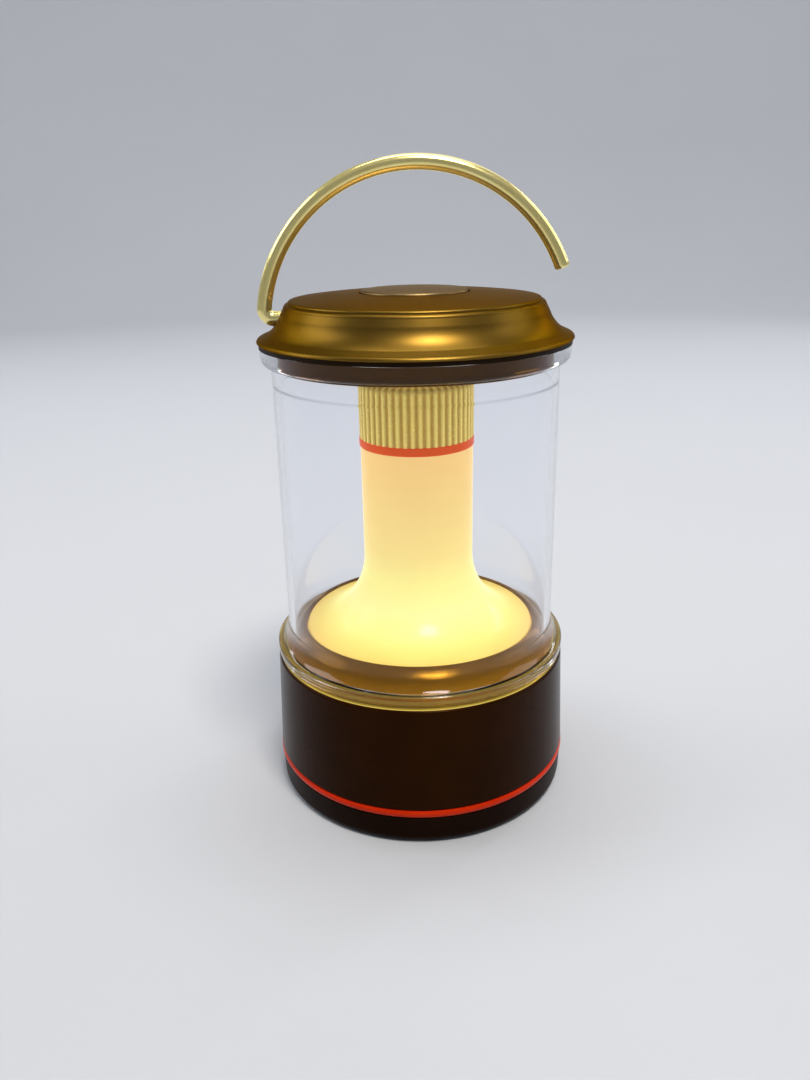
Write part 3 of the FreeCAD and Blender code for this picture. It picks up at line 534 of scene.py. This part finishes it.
WIRE_RED = Finish("red_insulation", (0.36, 0.03, 0.025), (0.45, 0.045, 0.035), (0.4, 0.52))


class SubAssembly:
    """Pieces that are built and dressed together."""

    def add(self, mesh: bmesh.types.BMesh, name: str, body: Body, slot: str, node: str,
            finish: Finish) -> bpy.types.Object:
        """Make a mesh a piece of the lantern in place of its solid.

        Args:
            mesh: The finished mesh, which is used up.
            name: The piece's name.
            body: What the piece moves with.
            slot: The material slot of the solid it stands for; not used.
            node: The solid that it stands for.
            finish: Its surface.

        Returns:
            The new piece.
        """
        piece = place_mesh(mesh, name)
        piece.data.materials.append(finish.material())
        soften(piece)
        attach(piece, body.value)
        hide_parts(node)
        log.info("%s: %d faces, rides on %s", name, len(piece.data.polygons), body.value)
        return piece

    def dress(self, finish: Finish, *nodes: str) -> None:
        """Give solids that stay in view their finish.

        Args:
            finish: The surface.
            *nodes: The solids' names.
        """
        for name in nodes:
            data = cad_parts[name].data
            data.materials.clear()
            data.materials.append(finish.material())
            log.info("%s: %s", name, finish.name)


def place_mesh(mesh: bmesh.types.BMesh, name: str) -> bpy.types.Object:
    """Make a mesh an object at the origin.

    Args:
        mesh: The finished mesh, which is used up.
        name: The object's name.

    Returns:
        The new object.
    """
    data = bpy.data.meshes.new(name)
    mesh.to_mesh(data)
    mesh.free()
    placed = bpy.data.objects.new(name, data)
    bpy.context.scene.collection.objects.link(placed)
    return placed


def soften(piece: bpy.types.Object, crease: float = 30.0) -> None:
    """Shade a piece smooth and keep its sharp edges.

    Args:
        piece: The piece.
        crease: Angle in degrees past which an edge stays sharp.
    """
    for face in piece.data.polygons:
        face.use_smooth = True
    piece.data.set_sharp_from_angle(angle=math.radians(crease))


def bore(piece: bpy.types.Object, centre: Axes, radius: float, length: float) -> None:
    """Bore a round hole along X.

    Args:
        piece: The piece to bore.
        centre: Middle of the hole, in millimetres.
        radius: Radius of the hole, in millimetres.
        length: Length of the drill, in millimetres.
    """
    drill = bmesh.new()
    place = Matrix.Translation(Vector(centre) * MM) @ Matrix.Rotation(math.pi / 2, 4, "Y")
    bmesh.ops.create_cone(drill, cap_ends=True, segments=DRILL_SIDES, radius1=radius * MM,
                          radius2=radius * MM, depth=length * MM, matrix=place)
    cutter = place_mesh(drill, "drill")
    step = piece.modifiers.new("bore", "BOOLEAN")
    step.object = cutter
    step.solver = "EXACT"
    bpy.context.view_layer.update()
    bored = bpy.data.meshes.new_from_object(piece.evaluated_get(bpy.context.evaluated_depsgraph_get()))
    piece.modifiers.clear()
    piece.data = bored
    bpy.data.objects.remove(cutter)
    soften(piece)


@dataclass
class BatteryBase(SubAssembly):
    """Turning black cover, its red ring and the battery cradle inside."""

    radius: float = 37.6
    height: float = 7.6
    taper: float = 0.2
    lower_round: float = 2.2
    upper_round: float = 0.35
    recess: float = 0.8
    recess_radius: float = 29.0
    floor: float = 2.4
    wall: float = 1.5
    upstand: float = 34.5
    upstand_top: float = 17.0
    ring_gap: float = 0.1
    ring_radius: float = 37.55
    ring_top: float = 9.4
    ring_crown: float = 1.5

    def build(self) -> None:
        """Turn the cover and the ring."""
        inner = self.upstand - self.wall
        cover = Outline(0, self.floor)
        cover.line(0, self.recess).line(self.recess_radius, self.recess)
        cover.line(self.recess_radius + self.recess, 0)
        cover.line(self.radius - self.lower_round - self.taper, 0)
        cover.arc(self.radius - self.taper, self.lower_round, self.lower_round, Bow.PROUD, 14)
        cover.line(self.radius, self.height - self.upper_round)
        cover.arc(self.radius - self.upper_round, self.height, self.upper_round, Bow.PROUD, 4)
        cover.line(self.upstand, self.height).line(self.upstand, self.upstand_top)
        cover.line(inner, self.upstand_top).line(inner, self.floor).line(0, self.floor)
        self.add(cover.turn(), "cover_dish", Body.BASE, "cover_black", "base_cover", COVER_BLACK)
        seat = self.upstand + self.ring_gap
        ring = Outline(seat, self.height)
        ring.line(self.ring_radius, self.height)
        ring.arc(self.ring_radius, self.ring_top, self.ring_crown, Bow.PROUD, 8)
        ring.line(seat, self.ring_top).close()
        self.add(ring.turn(), "trim_ring", Body.BASE, "trim_red", "red_ring", TRIM_RED)

    def dress_inside(self) -> None:
        """Give the cradle, cells and contacts their finishes."""
        self.dress(MOULDING, "battery_cradle")
        self.dress(JACKET, *(f"battery_cell_{index}" for index in range(1, 5)))
        self.dress(NICKEL, "series_link_left", "series_link_right", "series_link_cross",
                   "terminal_plus", "terminal_minus")


@dataclass
class Drum(SubAssembly):
    """Glossy drum, the plated seat on it and the leaf contacts under its top."""

    foot_radius: float = 37.7
    foot: float = 9.7
    foot_round: float = 0.25
    top_radius: float = 36.8
    top: float = 35.8
    edge: float = 0.7
    bore: float = 34.9
    roof: float = 1.4
    roof_hole: float = 27.5
    seat_bore: float = 34.5
    seat_radius: float = 35.6
    seat_top: float = 37.0
    seat_round: float = 0.2
    lip_radius: float = 36.3
    lip_height: float = 0.2
    lip_slope: float = 0.05

    def build(self) -> None:
        """Turn the drum and the globe's seat."""
        under = self.top - self.roof
        drum = Outline(self.bore, self.foot)
        drum.line(self.foot_radius - self.foot_round, self.foot)
        drum.arc(self.foot_radius, self.foot + self.foot_round, self.foot_round, Bow.PROUD, 4)
        drum.line(self.top_radius, self.top - self.edge)
        drum.arc(self.top_radius - self.edge, self.top, self.edge, Bow.PROUD, 8)
        drum.line(self.roof_hole, self.top).line(self.roof_hole, under).line(self.bore, under).close()
        self.add(drum.turn(), "drum_wall", Body.FIXED, "drum_brown", "body_shell", DRUM_BROWN)
        lip_top = self.top + self.lip_height
        seat = Outline(self.seat_bore, self.top)
        seat.line(self.lip_radius, self.top).line(self.lip_radius, lip_top)
        seat.line(self.seat_radius, lip_top + self.lip_slope)
        seat.line(self.seat_radius, self.seat_top - self.seat_round)
        seat.arc(self.seat_radius - self.seat_round, self.seat_top, self.seat_round, Bow.PROUD, 4)
        seat.line(self.seat_bore, self.seat_top).close()
        # The seat takes the bright gold finish, with its painted glow and painted bands of light and shade.
        self.add(seat.turn(), "seat_ring", Body.FIXED, "bezel_bronze", "globe_seat", SEAT_GOLD)

    def dress_inside(self) -> None:
        """Give the leaf contacts and screws their finishes."""
        self.dress(NICKEL, "leaf_contact_plus", "leaf_contact_minus")
        self.dress(ZINC, "base_screws")


@dataclass
class LightUnit(SubAssembly):
    """Bezel, lit trumpet, red band and ribbed cap, with the LED board below."""

    bezel_radius: float = 33.7
    bezel_wall: float = 1.3
    bezel_foot: float = 37.1
    bezel_skirt: float = 38.0
    bezel_top: float = 43.8
    skirt_inside: float = 0.6
    mouth: float = 29.2
    mouth_bevel: float = 0.4
    crown: float = 6.6
    disc_radius: float = 28.9
    disc_top: float = 43.4
    disc_edge: float = 42.2
    disc_round: float = 0.3
    flange: float = 30.6
    flange_gap: float = 0.15
    foot: float = 41.1
    foot_inside: float = 0.6
    wall: float = 1.4
    column: float = 13.7
    flare_top: float = 61.0
    flare_curve: float = 17.8
    column_top: float = 89.2
    column_inside: float = 2.6
    spigot: float = 12.5
    spigot_top: float = 102.0
    fit_gap: float = 0.1
    band_radius: float = 13.95
    band_top: float = 91.2
    band_round: float = 0.2
    cap_radius: float = 13.85
    cap_shoulder: float = 103.4
    cap_top: float = 104.8
    ceiling_gap: float = 0.2
    neck: float = 9.0
    neck_bore: float = 7.6
    neck_top: float = 112.0
    flutes: int = 48
    flute_radius: float = 0.6
    flute_proud: float = 0.35
    flute_steps: int = 12
    bore_guard: float = 0.02

    def build(self) -> None:
        """Turn the bezel, trumpet and band, and rib the cap."""
        self.add(self.bezel(), "bezel_shoulder", Body.FIXED, "bezel_bronze", "bezel_ring", BEZEL_BRONZE)
        self.add(self.trumpet(), "opal_trumpet", Body.FIXED, "diffuser_opal", "diffuser", OPAL)
        self.add(self.band(), "red_band", Body.FIXED, "trim_red", "column_band", BAND_RED)
        self.add(self.ribbed_cap(), "ribbed_sleeve", Body.FIXED, "cap_ivory", "mantle_cap", CAP_IVORY)

    def bezel(self) -> bmesh.types.BMesh:
        """Turn the bronze shoulder round the light.

        Returns:
            The turned mesh.
        """
        inside = self.bezel_radius - self.bezel_wall
        bezel = Outline(inside, self.bezel_foot)
        bezel.line(self.bezel_radius, self.bezel_foot).line(self.bezel_radius, self.bezel_skirt)
        bezel.arc(self.mouth + self.mouth_bevel, self.bezel_top, self.crown, Bow.PROUD, 20)
        bezel.line(self.mouth, self.bezel_top - self.mouth_bevel).line(self.mouth, self.disc_edge)
        bezel.line(self.flange + self.flange_gap, self.disc_edge)
        bezel.arc(inside, self.bezel_skirt + self.skirt_inside, self.crown - self.bezel_wall, Bow.HOLLOW, 8)
        return bezel.close().turn()

    def trumpet(self) -> bmesh.types.BMesh:
        """Turn the lit opal piece: flange, flat flare, column and spigot.

        Returns:
            The turned mesh.
        """
        lower = self.disc_radius - self.wall
        trumpet = Outline(self.flange, self.foot)
        trumpet.line(self.flange, self.disc_edge).line(self.disc_radius, self.disc_edge)
        trumpet.line(self.disc_radius, self.disc_top - self.disc_round)
        trumpet.arc(self.disc_radius - self.disc_round, self.disc_top, self.disc_round, Bow.PROUD, 4)
        trumpet.arc(self.column, self.flare_top, self.flare_curve, Bow.HOLLOW, 32)
        trumpet.line(self.column, self.column_top).line(self.spigot, self.column_top)
        trumpet.line(self.spigot, self.spigot_top).line(self.spigot - self.wall, self.spigot_top)
        trumpet.line(self.spigot - self.wall, self.column_top - self.wall)
        trumpet.line(self.column - self.wall, self.column_top - self.column_inside)
        trumpet.line(self.column - self.wall, self.flare_top)
        trumpet.arc(lower, self.foot + self.foot_inside, self.flare_curve + self.wall, Bow.PROUD, 20)
        return trumpet.line(lower, self.foot).close().turn()

    def band(self) -> bmesh.types.BMesh:
        """Turn the red band between column and cap.

        Returns:
            The turned mesh.
        """
        seat = self.spigot + self.fit_gap
        band = Outline(seat, self.column_top)
        band.line(self.band_radius - self.band_round, self.column_top)
        band.arc(self.band_radius, self.column_top + self.band_round, self.band_round, Bow.PROUD, 3)
        band.line(self.band_radius, self.band_top - self.band_round)
        band.arc(self.band_radius - self.band_round, self.band_top, self.band_round, Bow.PROUD, 3)
        return band.line(seat, self.band_top).close().turn()

    def ribbed_cap(self) -> bmesh.types.BMesh:
        """Turn the cap and press its flutes in.

        Returns:
            The fluted mesh.
        """
        rounding = self.cap_top - self.cap_shoulder
        seat = self.spigot + self.fit_gap
        ceiling = self.spigot_top + self.ceiling_gap
        cap = Outline(seat, self.band_top)
        cap.line(self.cap_radius, self.band_top).line(self.cap_radius, self.cap_shoulder)
        cap.arc(self.cap_radius - rounding, self.cap_top, rounding, Bow.PROUD, 6)
        cap.line(self.neck, self.cap_top).line(self.neck, self.neck_top)
        cap.line(self.neck_bore, self.neck_top).line(self.neck_bore, ceiling).line(seat, ceiling).close()
        mesh = cap.turn(self.flutes * self.flute_steps)
        pitch = math.tau / self.flutes
        axis = self.cap_radius + self.flute_radius * self.flute_proud
        for vert in mesh.verts:
            reach = math.hypot(vert.co.x, vert.co.y) / MM
            angle = math.atan2(vert.co.y, vert.co.x)
            aside = abs((angle + pitch / 2) % pitch - pitch / 2) * axis
            if reach < seat + self.bore_guard or aside >= self.flute_radius:
                continue
            floor = axis - math.sqrt(self.flute_radius ** 2 - aside ** 2)
            if reach > floor:
                vert.co.xy *= floor / reach
        return mesh

    def dress_inside(self) -> None:
        """Give the chassis, LED board and leads their finishes."""
        # The chassis plate takes the seat's finish, with its painted glow and painted height bands.
        self.dress(SEAT_GOLD, "chassis_plate")
        self.dress(BOARD_WHITE, "led_board")
        self.dress(PHOSPHOR, *(f"led_{index}" for index in range(1, 7)))
        self.dress(CASE_BLACK, "driver_chip", "inductor")
        self.dress(WIRE_RED, "switch_wire_left", "switch_wire_right")


@dataclass
class Globe(SubAssembly):
    """Clear globe with a flared foot and a flange under the lid."""

    radius: float = 33.8
    wall: float = 1.6
    base: float = 37.0
    base_round: float = 0.3
    foot_radius: float = 36.8
    foot_bore: float = 34.6
    foot_top: float = 39.4
    foot_round: float = 0.5
    foot_inside: float = 0.6
    flare_top: float = 44.2
    flare_curve: float = 4.6
    line_height: float = 105.0
    line_step: float = 0.12
    line_slope: float = 4.0
    flange: float = 109.6
    flange_radius: float = 36.4
    flange_fillet: float = 0.5
    flange_round: float = 1.3
    flange_taper: float = 0.3
    top: float = 113.4

    def build(self) -> None:
        """Turn the globe."""
        inner = self.radius - self.wall
        step = inner + self.line_step
        shoulder = self.flange_radius - self.flange_taper
        globe = Outline(self.foot_bore, self.base)
        globe.line(self.foot_radius - self.base_round, self.base)
        globe.arc(self.foot_radius, self.base + self.base_round, self.base_round, Bow.PROUD, 4)
        globe.line(self.foot_radius, self.foot_top - self.foot_round)
        globe.arc(self.foot_radius - self.foot_round, self.foot_top, self.foot_round, Bow.PROUD, 5)
        globe.arc(self.radius, self.flare_top, self.flare_curve, Bow.HOLLOW, 14)
        globe.line(self.radius, self.flange - self.flange_fillet)
        globe.arc(self.radius + self.flange_fillet, self.flange, self.flange_fillet, Bow.HOLLOW, 5)
        globe.line(shoulder - self.flange_round, self.flange)
        globe.arc(shoulder, self.flange + self.flange_round, self.flange_round, Bow.PROUD, 8)
        globe.line(self.flange_radius, self.top).line(inner, self.top).line(inner, self.line_height)
        globe.line(step, self.line_height - self.line_slope * self.line_step).line(step, self.flare_top)
        globe.arc(self.foot_bore, self.foot_top - self.foot_inside, self.flare_curve + self.wall,
                  Bow.PROUD, 14)
        self.add(globe.close().turn(), "clear_wall", Body.FIXED, "globe_clear", "globe", CLEAR)


@dataclass
class LidUnit(SubAssembly):
    """Spigot collar, black seal, ogee lid, push button and the switch below it."""

    collar_radius: float = 32.0
    collar_wall: float = 1.5
    collar_bottom: float = 108.7
    collar_round: float = 0.4
    web_bottom: float = 112.0
    web_bore: float = 7.0
    globe_top: float = 113.4
    gasket_bore: float = 34.0
    gasket_radius: float = 36.3
    gasket_round: float = 0.2
    seat: float = 114.4
    radius: float = 36.8
    rim_width: float = 2.6
    rim_round: float = 0.3
    roll_depth: float = 0.8
    roll_curve: float = 1.0
    flare_foot: float = 2.85
    flare_reach: float = 0.8
    flare_drop: float = 3.2
    flare_curve: float = 9.0
    neck_reach: float = 1.0
    neck_drop: float = 1.6
    step_reach: float = 0.35
    step_round: float = 0.9
    crest: float = 123.65
    crest_radius: float = 29.2
    crest_drop: float = 0.8
    crest_edge: float = 0.2
    crest_round: float = 0.6
    crown: float = 1.15
    dome: float = 218.0
    flats: int = 240
    hole_bevel: float = 0.3
    hole_edge: float = 0.2
    underside: float = 122.65
    inner_wall: float = 1.2
    inner_step: float = 2.6
    inner_neck: float = 0.7
    inner_flare: float = 4.0
    inner_foot: float = 0.4
    button_radius: float = 12.4
    button_gap: float = 0.35
    button_top: float = 125.3
    button_round: float = 0.6
    button_dome: float = 175.0
    button_flange: float = 13.6
    flange_gap: float = 0.4
    flange_depth: float = 0.8
    stem_radius: float = 2.0
    stem_bottom: float = 118.4
    hook_entry: float = -31.0
    hook_height: float = 119.2
    hook_hole: float = 2.15
    drill_length: float = 11.0

    def build(self) -> None:
        """Turn the collar, seal, lid and button, and bore the lid for the hook."""
        self.add(self.collar(), "spigot_collar", Body.FIXED, "bezel_bronze", "upper_collar", COLLAR_BRONZE)
        self.add(self.seal(), "lid_seal", Body.FIXED, "seal_rubber", "lid_gasket", SEAL_RUBBER)
        lid = self.add(self.lid(), "ogee_lid", Body.FIXED, "lid_bronze", "lid", LID_BRONZE)
        bore(lid, (self.hook_entry, 0.0, self.hook_height), self.hook_hole, self.drill_length)
        self.add(self.button(), "push_button", Body.BUTTON, "button_bronze", "button", BUTTON_BRONZE)

    def collar(self) -> bmesh.types.BMesh:
        """Turn the bronze spigot that centres the globe's top.

        Returns:
            The turned mesh.
        """
        inner = self.collar_radius - self.collar_wall
        collar = Outline(self.web_bore, self.web_bottom)
        collar.line(inner, self.web_bottom).line(inner, self.collar_bottom)
        collar.line(self.collar_radius - self.collar_round, self.collar_bottom)
        collar.arc(self.collar_radius, self.collar_bottom + self.collar_round, self.collar_round,
                   Bow.PROUD, 5)
        collar.line(self.collar_radius, self.globe_top).line(self.web_bore, self.globe_top)
        return collar.close().turn()

    def seal(self) -> bmesh.types.BMesh:
        """Turn the black seal between globe and lid.

        Returns:
            The turned mesh.
        """
        seal = Outline(self.gasket_bore, self.globe_top)
        seal.line(self.gasket_radius - self.gasket_round, self.globe_top)
        seal.arc(self.gasket_radius, self.globe_top + self.gasket_round, self.gasket_round, Bow.PROUD, 3)
        return seal.line(self.gasket_radius, self.seat).line(self.gasket_bore, self.seat).close().turn()

    def lid(self) -> bmesh.types.BMesh:
        """Turn the lid: rolled rim, hollow flare, stepped crest, low dome and a thin wall inside.

        Returns:
            The turned mesh.
        """
        rim = self.radius - self.rim_width
        neck = self.crest_radius + self.neck_reach
        hole = self.button_radius + self.button_gap
        dome_top = self.crest + self.crown
        inner = self.crest_radius - self.inner_wall
        lid = Outline(rim, self.seat).line(self.radius - self.rim_round, self.seat)
        lid.arc(self.radius, self.seat + self.rim_round, self.rim_round, Bow.PROUD, 5)
        lid.arc(self.radius - self.roll_depth, self.seat + self.roll_curve, self.roll_curve, Bow.PROUD, 6)
        lid.line(rim, self.globe_top + self.flare_foot)
        lid.arc(neck + self.flare_reach, self.crest - self.flare_drop, self.flare_curve, Bow.HOLLOW, 14)
        lid.line(neck, self.crest - self.neck_drop)
        lid.arc(self.crest_radius + self.step_reach, self.crest - self.step_round, self.step_round,
                Bow.PROUD, 6)
        lid.line(self.crest_radius, self.crest - self.crest_drop)
        lid.arc(self.crest_radius - self.crest_round, self.crest - self.crest_edge, self.crest_round,
                Bow.PROUD, 8)
        lid.arc(hole + self.hole_bevel, dome_top, self.dome, Bow.PROUD, 16)
        lid.line(hole, dome_top - self.hole_edge).line(hole, self.underside)
        lid.line(inner, self.underside).line(inner, self.crest - self.inner_step)
        lid.line(neck - self.inner_neck, self.crest - self.inner_flare)
        return lid.line(rim, self.seat + self.inner_foot).close().turn(self.flats)

    def button(self) -> bmesh.types.BMesh:
        """Turn the push button: stem, flange, wall and low dome.

        Returns:
            The turned mesh.
        """
        edge = self.button_radius - self.button_round
        flange_top = self.underside - self.flange_gap
        flange_under = flange_top - self.flange_depth
        dome = self.button_dome - math.sqrt(self.button_dome ** 2 - edge ** 2)
        button = Outline(0, self.stem_bottom)
        button.line(self.stem_radius, self.stem_bottom).line(self.stem_radius, flange_under)
        button.line(self.button_flange, flange_under).line(self.button_flange, flange_top)
        button.line(self.button_radius, flange_top)
        button.line(self.button_radius, self.button_top - self.button_round)
        button.arc(edge, self.button_top, self.button_round, Bow.PROUD, 8)
        return button.arc(0, self.button_top + dome, self.button_dome, Bow.PROUD, 12).turn()

    def dress_inside(self) -> None:
        """Give the switch, its board, the screws and the hook's bush their finishes."""
        self.dress(BOARD_GREEN, "switch_board")
        self.dress(CASE_BLACK, "tact_switch", "switch_plunger")
        self.dress(ZINC, "lid_screws")
        self.dress(MOULDING, "hook_bush")


@dataclass
class CarryHook(SubAssembly):
    """Bent wire hook: straight root, tight elbow and one long arc to a free end."""

    wire: float = 1.75
    pivot: float = 119.2
    shift: float = 0.5
    drop: float = 2.6
    curve: float = 35.65
    elbow: float = 2.2
    end_rise: float = 10.1
    end_round: float = 0.45
    root: float = 23.0
    round_steps: int = 28
    elbow_steps: int = 18
    bow_steps: int = 96
    end_steps: int = 4

    def build(self) -> None:
        """Bend the wire from its root to its free end."""
        rise = self.elbow + self.drop
        back = math.sqrt((self.curve - self.elbow) ** 2 - rise ** 2)
        bend_x = self.shift - back
        meeting = math.atan2(rise, -back)
        tip = math.asin((self.drop + self.end_rise) / self.curve)
        mesh = bmesh.new()
        start = Matrix.Translation((-self.root * MM, 0.0, self.pivot * MM))
        start = start @ Matrix.Rotation(-math.pi / 2, 4, "Y")
        bmesh.ops.create_circle(mesh, cap_ends=False, segments=self.round_steps, radius=self.wire * MM,
                                matrix=start)
        made = bmesh.ops.extrude_edge_only(mesh, edges=mesh.edges[:])["geom"]
        bmesh.ops.translate(mesh, verts=[v for v in made if isinstance(v, bmesh.types.BMVert)],
                            vec=((bend_x + self.root) * MM, 0.0, 0.0))
        ring = [e for e in made if isinstance(e, bmesh.types.BMEdge)]
        ring = self.bend(mesh, ring, (bend_x, self.pivot + self.elbow), 1.5 * math.pi - meeting,
                         self.elbow_steps)
        self.bend(mesh, ring, (self.shift, self.pivot - self.drop), meeting - tip, self.bow_steps)
        open_edges = [e for e in mesh.edges if e.is_boundary]
        bmesh.ops.holes_fill(mesh, edges=open_edges, sides=self.round_steps)
        tidy(mesh)
        ends = [f for f in mesh.faces if len(f.verts) == self.round_steps]
        rims = list({e for f in ends for e in f.edges})
        bmesh.ops.bevel(mesh, geom=rims, offset=self.end_round * MM, offset_type="OFFSET",
                        segments=self.end_steps, profile=0.5, affect="EDGES", material=-1)
        bmesh.ops.recalc_face_normals(mesh, faces=mesh.faces)
        self.add(mesh, "wire_hook", Body.HOOK, "hook_steel", "hook", WIRE_STEEL)

    def bend(self, mesh: bmesh.types.BMesh, ring: list[bmesh.types.BMEdge], centre: tuple[float, float],
             angle: float, steps: int) -> list[bmesh.types.BMEdge]:
        """Carry the wire's end ring round a bend.

        Args:
            mesh: The wire so far.
            ring: Edges of the end ring.
            centre: Middle of the bend, across and up.
            angle: How far the wire turns, in radians.
            steps: Number of short stretches.

        Returns:
            Edges of the new end ring.
        """
        verts = list({v for e in ring for v in e.verts})
        spun = bmesh.ops.spin(mesh, geom=ring + verts, cent=(centre[0] * MM, 0.0, centre[1] * MM),
                              axis=(0.0, 1.0, 0.0), angle=angle, steps=steps)
        return [e for e in spun["geom_last"] if isinstance(e, bmesh.types.BMEdge)]

    def dress_inside(self) -> None:
        """Give the clip on the wire's root its finish."""
        self.dress(WIRE_STEEL, "hook_clip")


@dataclass(frozen=True)
class Lamp:
    """A soft studio lamp that faces the lantern or the backdrop."""

    name: str
    place: Axes
    size: float
    power: float
    tint: Colour = (1.0, 1.0, 1.0)
    aim: Axes = (0.0, 0.0, 0.07)
    height: float = 0.0


@dataclass
class Studio:
    """Pale round cove, soft lamps and the camera."""

    standing_radius: float = 40.0
    floor_radius: float = 1100.0
    cove: float = 500.0
    wall_top: float = 1500.0
    cove_flats: int = 96
    pale: Colour = (0.52, 0.535, 0.57)
    pale_drift: float = 0.985
    sky: Colour = (0.95, 0.97, 1.0)
    sky_level: float = 0.3
    eye: Axes = (-0.36, -213.1, 143.36)
    pitch: float = 20.495
    roll: float = 1.195
    yaw: float = -0.804
    focal: float = 896.3
    picture_height: float = 1080.0
    sensor: float = 36.0
    nearest: float = 0.01
    lamps: list[Lamp] = field(default_factory=lambda: [
        Lamp("key", (0.15, -0.36, 0.95), 0.24, 7.0, (1.0, 0.95, 0.87)),
        Lamp("left", (-0.85, 0.1, 0.7), 0.5, 2.6),
        Lamp("right", (0.85, 0.1, 0.6), 0.5, 1.2),
        Lamp("rear", (0.2, 0.9, 0.9), 0.8, 1.5),
        Lamp("backdrop", (0.0, 0.3, 1.3), 0.8, 9.0, aim=(0.0, 1.6, 0.3)),
        Lamp("right_strip", (0.7, 0.66, 0.55), 0.1, 1.2, (0.92, 0.96, 1.0), height=0.6),
        Lamp("left_strip", (-0.75, 0.55, 0.55), 0.08, 0.7, (0.92, 0.96, 1.0), height=0.6),
    ])

    def build(self) -> None:
        """Set up the cove, the light and the camera."""
        self.build_cove()
        for lamp in self.lamps:
            self.hang(lamp)
        world = bpy.context.scene.world or bpy.data.worlds.new("sky")
        bpy.context.scene.world = world
        world.use_nodes = True
        sky = world.node_tree.nodes["Background"].inputs
        sky["Color"].default_value = (*self.sky, 1.0)
        sky["Strength"].default_value = self.sky_level
        self.stand_camera()
        bpy.context.scene.view_settings.view_transform = "Standard"

    def build_cove(self) -> None:
        """Turn the floor and its backdrop as one pale bowl."""
        cove = Outline(0, 0)
        cove.line(self.standing_radius, 0).line(self.floor_radius, 0)
        cove.arc(self.floor_radius + self.cove, self.cove, self.cove, Bow.PROUD, 24)
        cove.line(self.floor_radius + self.cove, self.wall_top)
        mesh = cove.turn(self.cove_flats)
        bmesh.ops.reverse_faces(mesh, faces=[f for f in mesh.faces if f.normal.z < LOOKS_DOWN])
        floor = place_mesh(mesh, "cove")
        paper = Finish("pale_paper", tuple(c * self.pale_drift for c in self.pale), self.pale, (0.85, 0.95),
                       drift=6.0, grain=300.0, relief=0.02, shine=0.1)
        floor.data.materials.append(paper.material())
        soften(floor)

    def hang(self, lamp: Lamp) -> None:
        """Hang a lamp and turn it to its aim.

        Args:
            lamp: The lamp's place, size, power and aim.
        """
        data = bpy.data.lights.new(lamp.name, "AREA")
        data.shape = "RECTANGLE"
        data.size = lamp.size
        data.size_y = lamp.height or lamp.size
        data.energy = lamp.power
        data.color = lamp.tint
        stand = bpy.data.objects.new(lamp.name, data)
        bpy.context.scene.collection.objects.link(stand)
        stand.location = lamp.place
        stand.rotation_mode = "QUATERNION"
        stand.rotation_quaternion = (Vector(lamp.aim) - Vector(lamp.place)).to_track_quat("-Z", "Y")

    def stand_camera(self) -> None:
        """Stand the camera where the photograph was taken from."""
        pitch, roll, yaw = (math.radians(v) for v in (self.pitch, self.roll, self.yaw))
        ahead = Vector((math.sin(yaw) * math.cos(pitch), math.cos(yaw) * math.cos(pitch), -math.sin(pitch)))
        right = Vector((math.cos(yaw), -math.sin(yaw), 0.0))
        down = ahead.cross(right)
        across = math.cos(roll) * right + math.sin(roll) * down
        below = -math.sin(roll) * right + math.cos(roll) * down
        data = bpy.data.cameras.new("photo_camera")
        data.sensor_width = self.sensor
        data.lens = self.focal / self.picture_height * self.sensor
        data.clip_start = self.nearest
        camera = bpy.data.objects.new("photo_camera", data)
        bpy.context.scene.collection.objects.link(camera)
        turn = Matrix((across, -below, -ahead)).transposed()
        camera.matrix_world = Matrix.Translation(Vector(self.eye) * MM) @ turn.to_4x4()
        bpy.context.scene.camera = camera


def main() -> None:
    """Build the lantern's sub-assemblies in order, then the studio."""
    logging.basicConfig(level=logging.INFO, format="%(name)s: %(message)s")
    for part in (BatteryBase(), Drum(), LightUnit(), LidUnit(), CarryHook()):
        part.build()
        part.dress_inside()
    Globe().build()
    Studio().build()


if __name__ == "__main__":
    main()
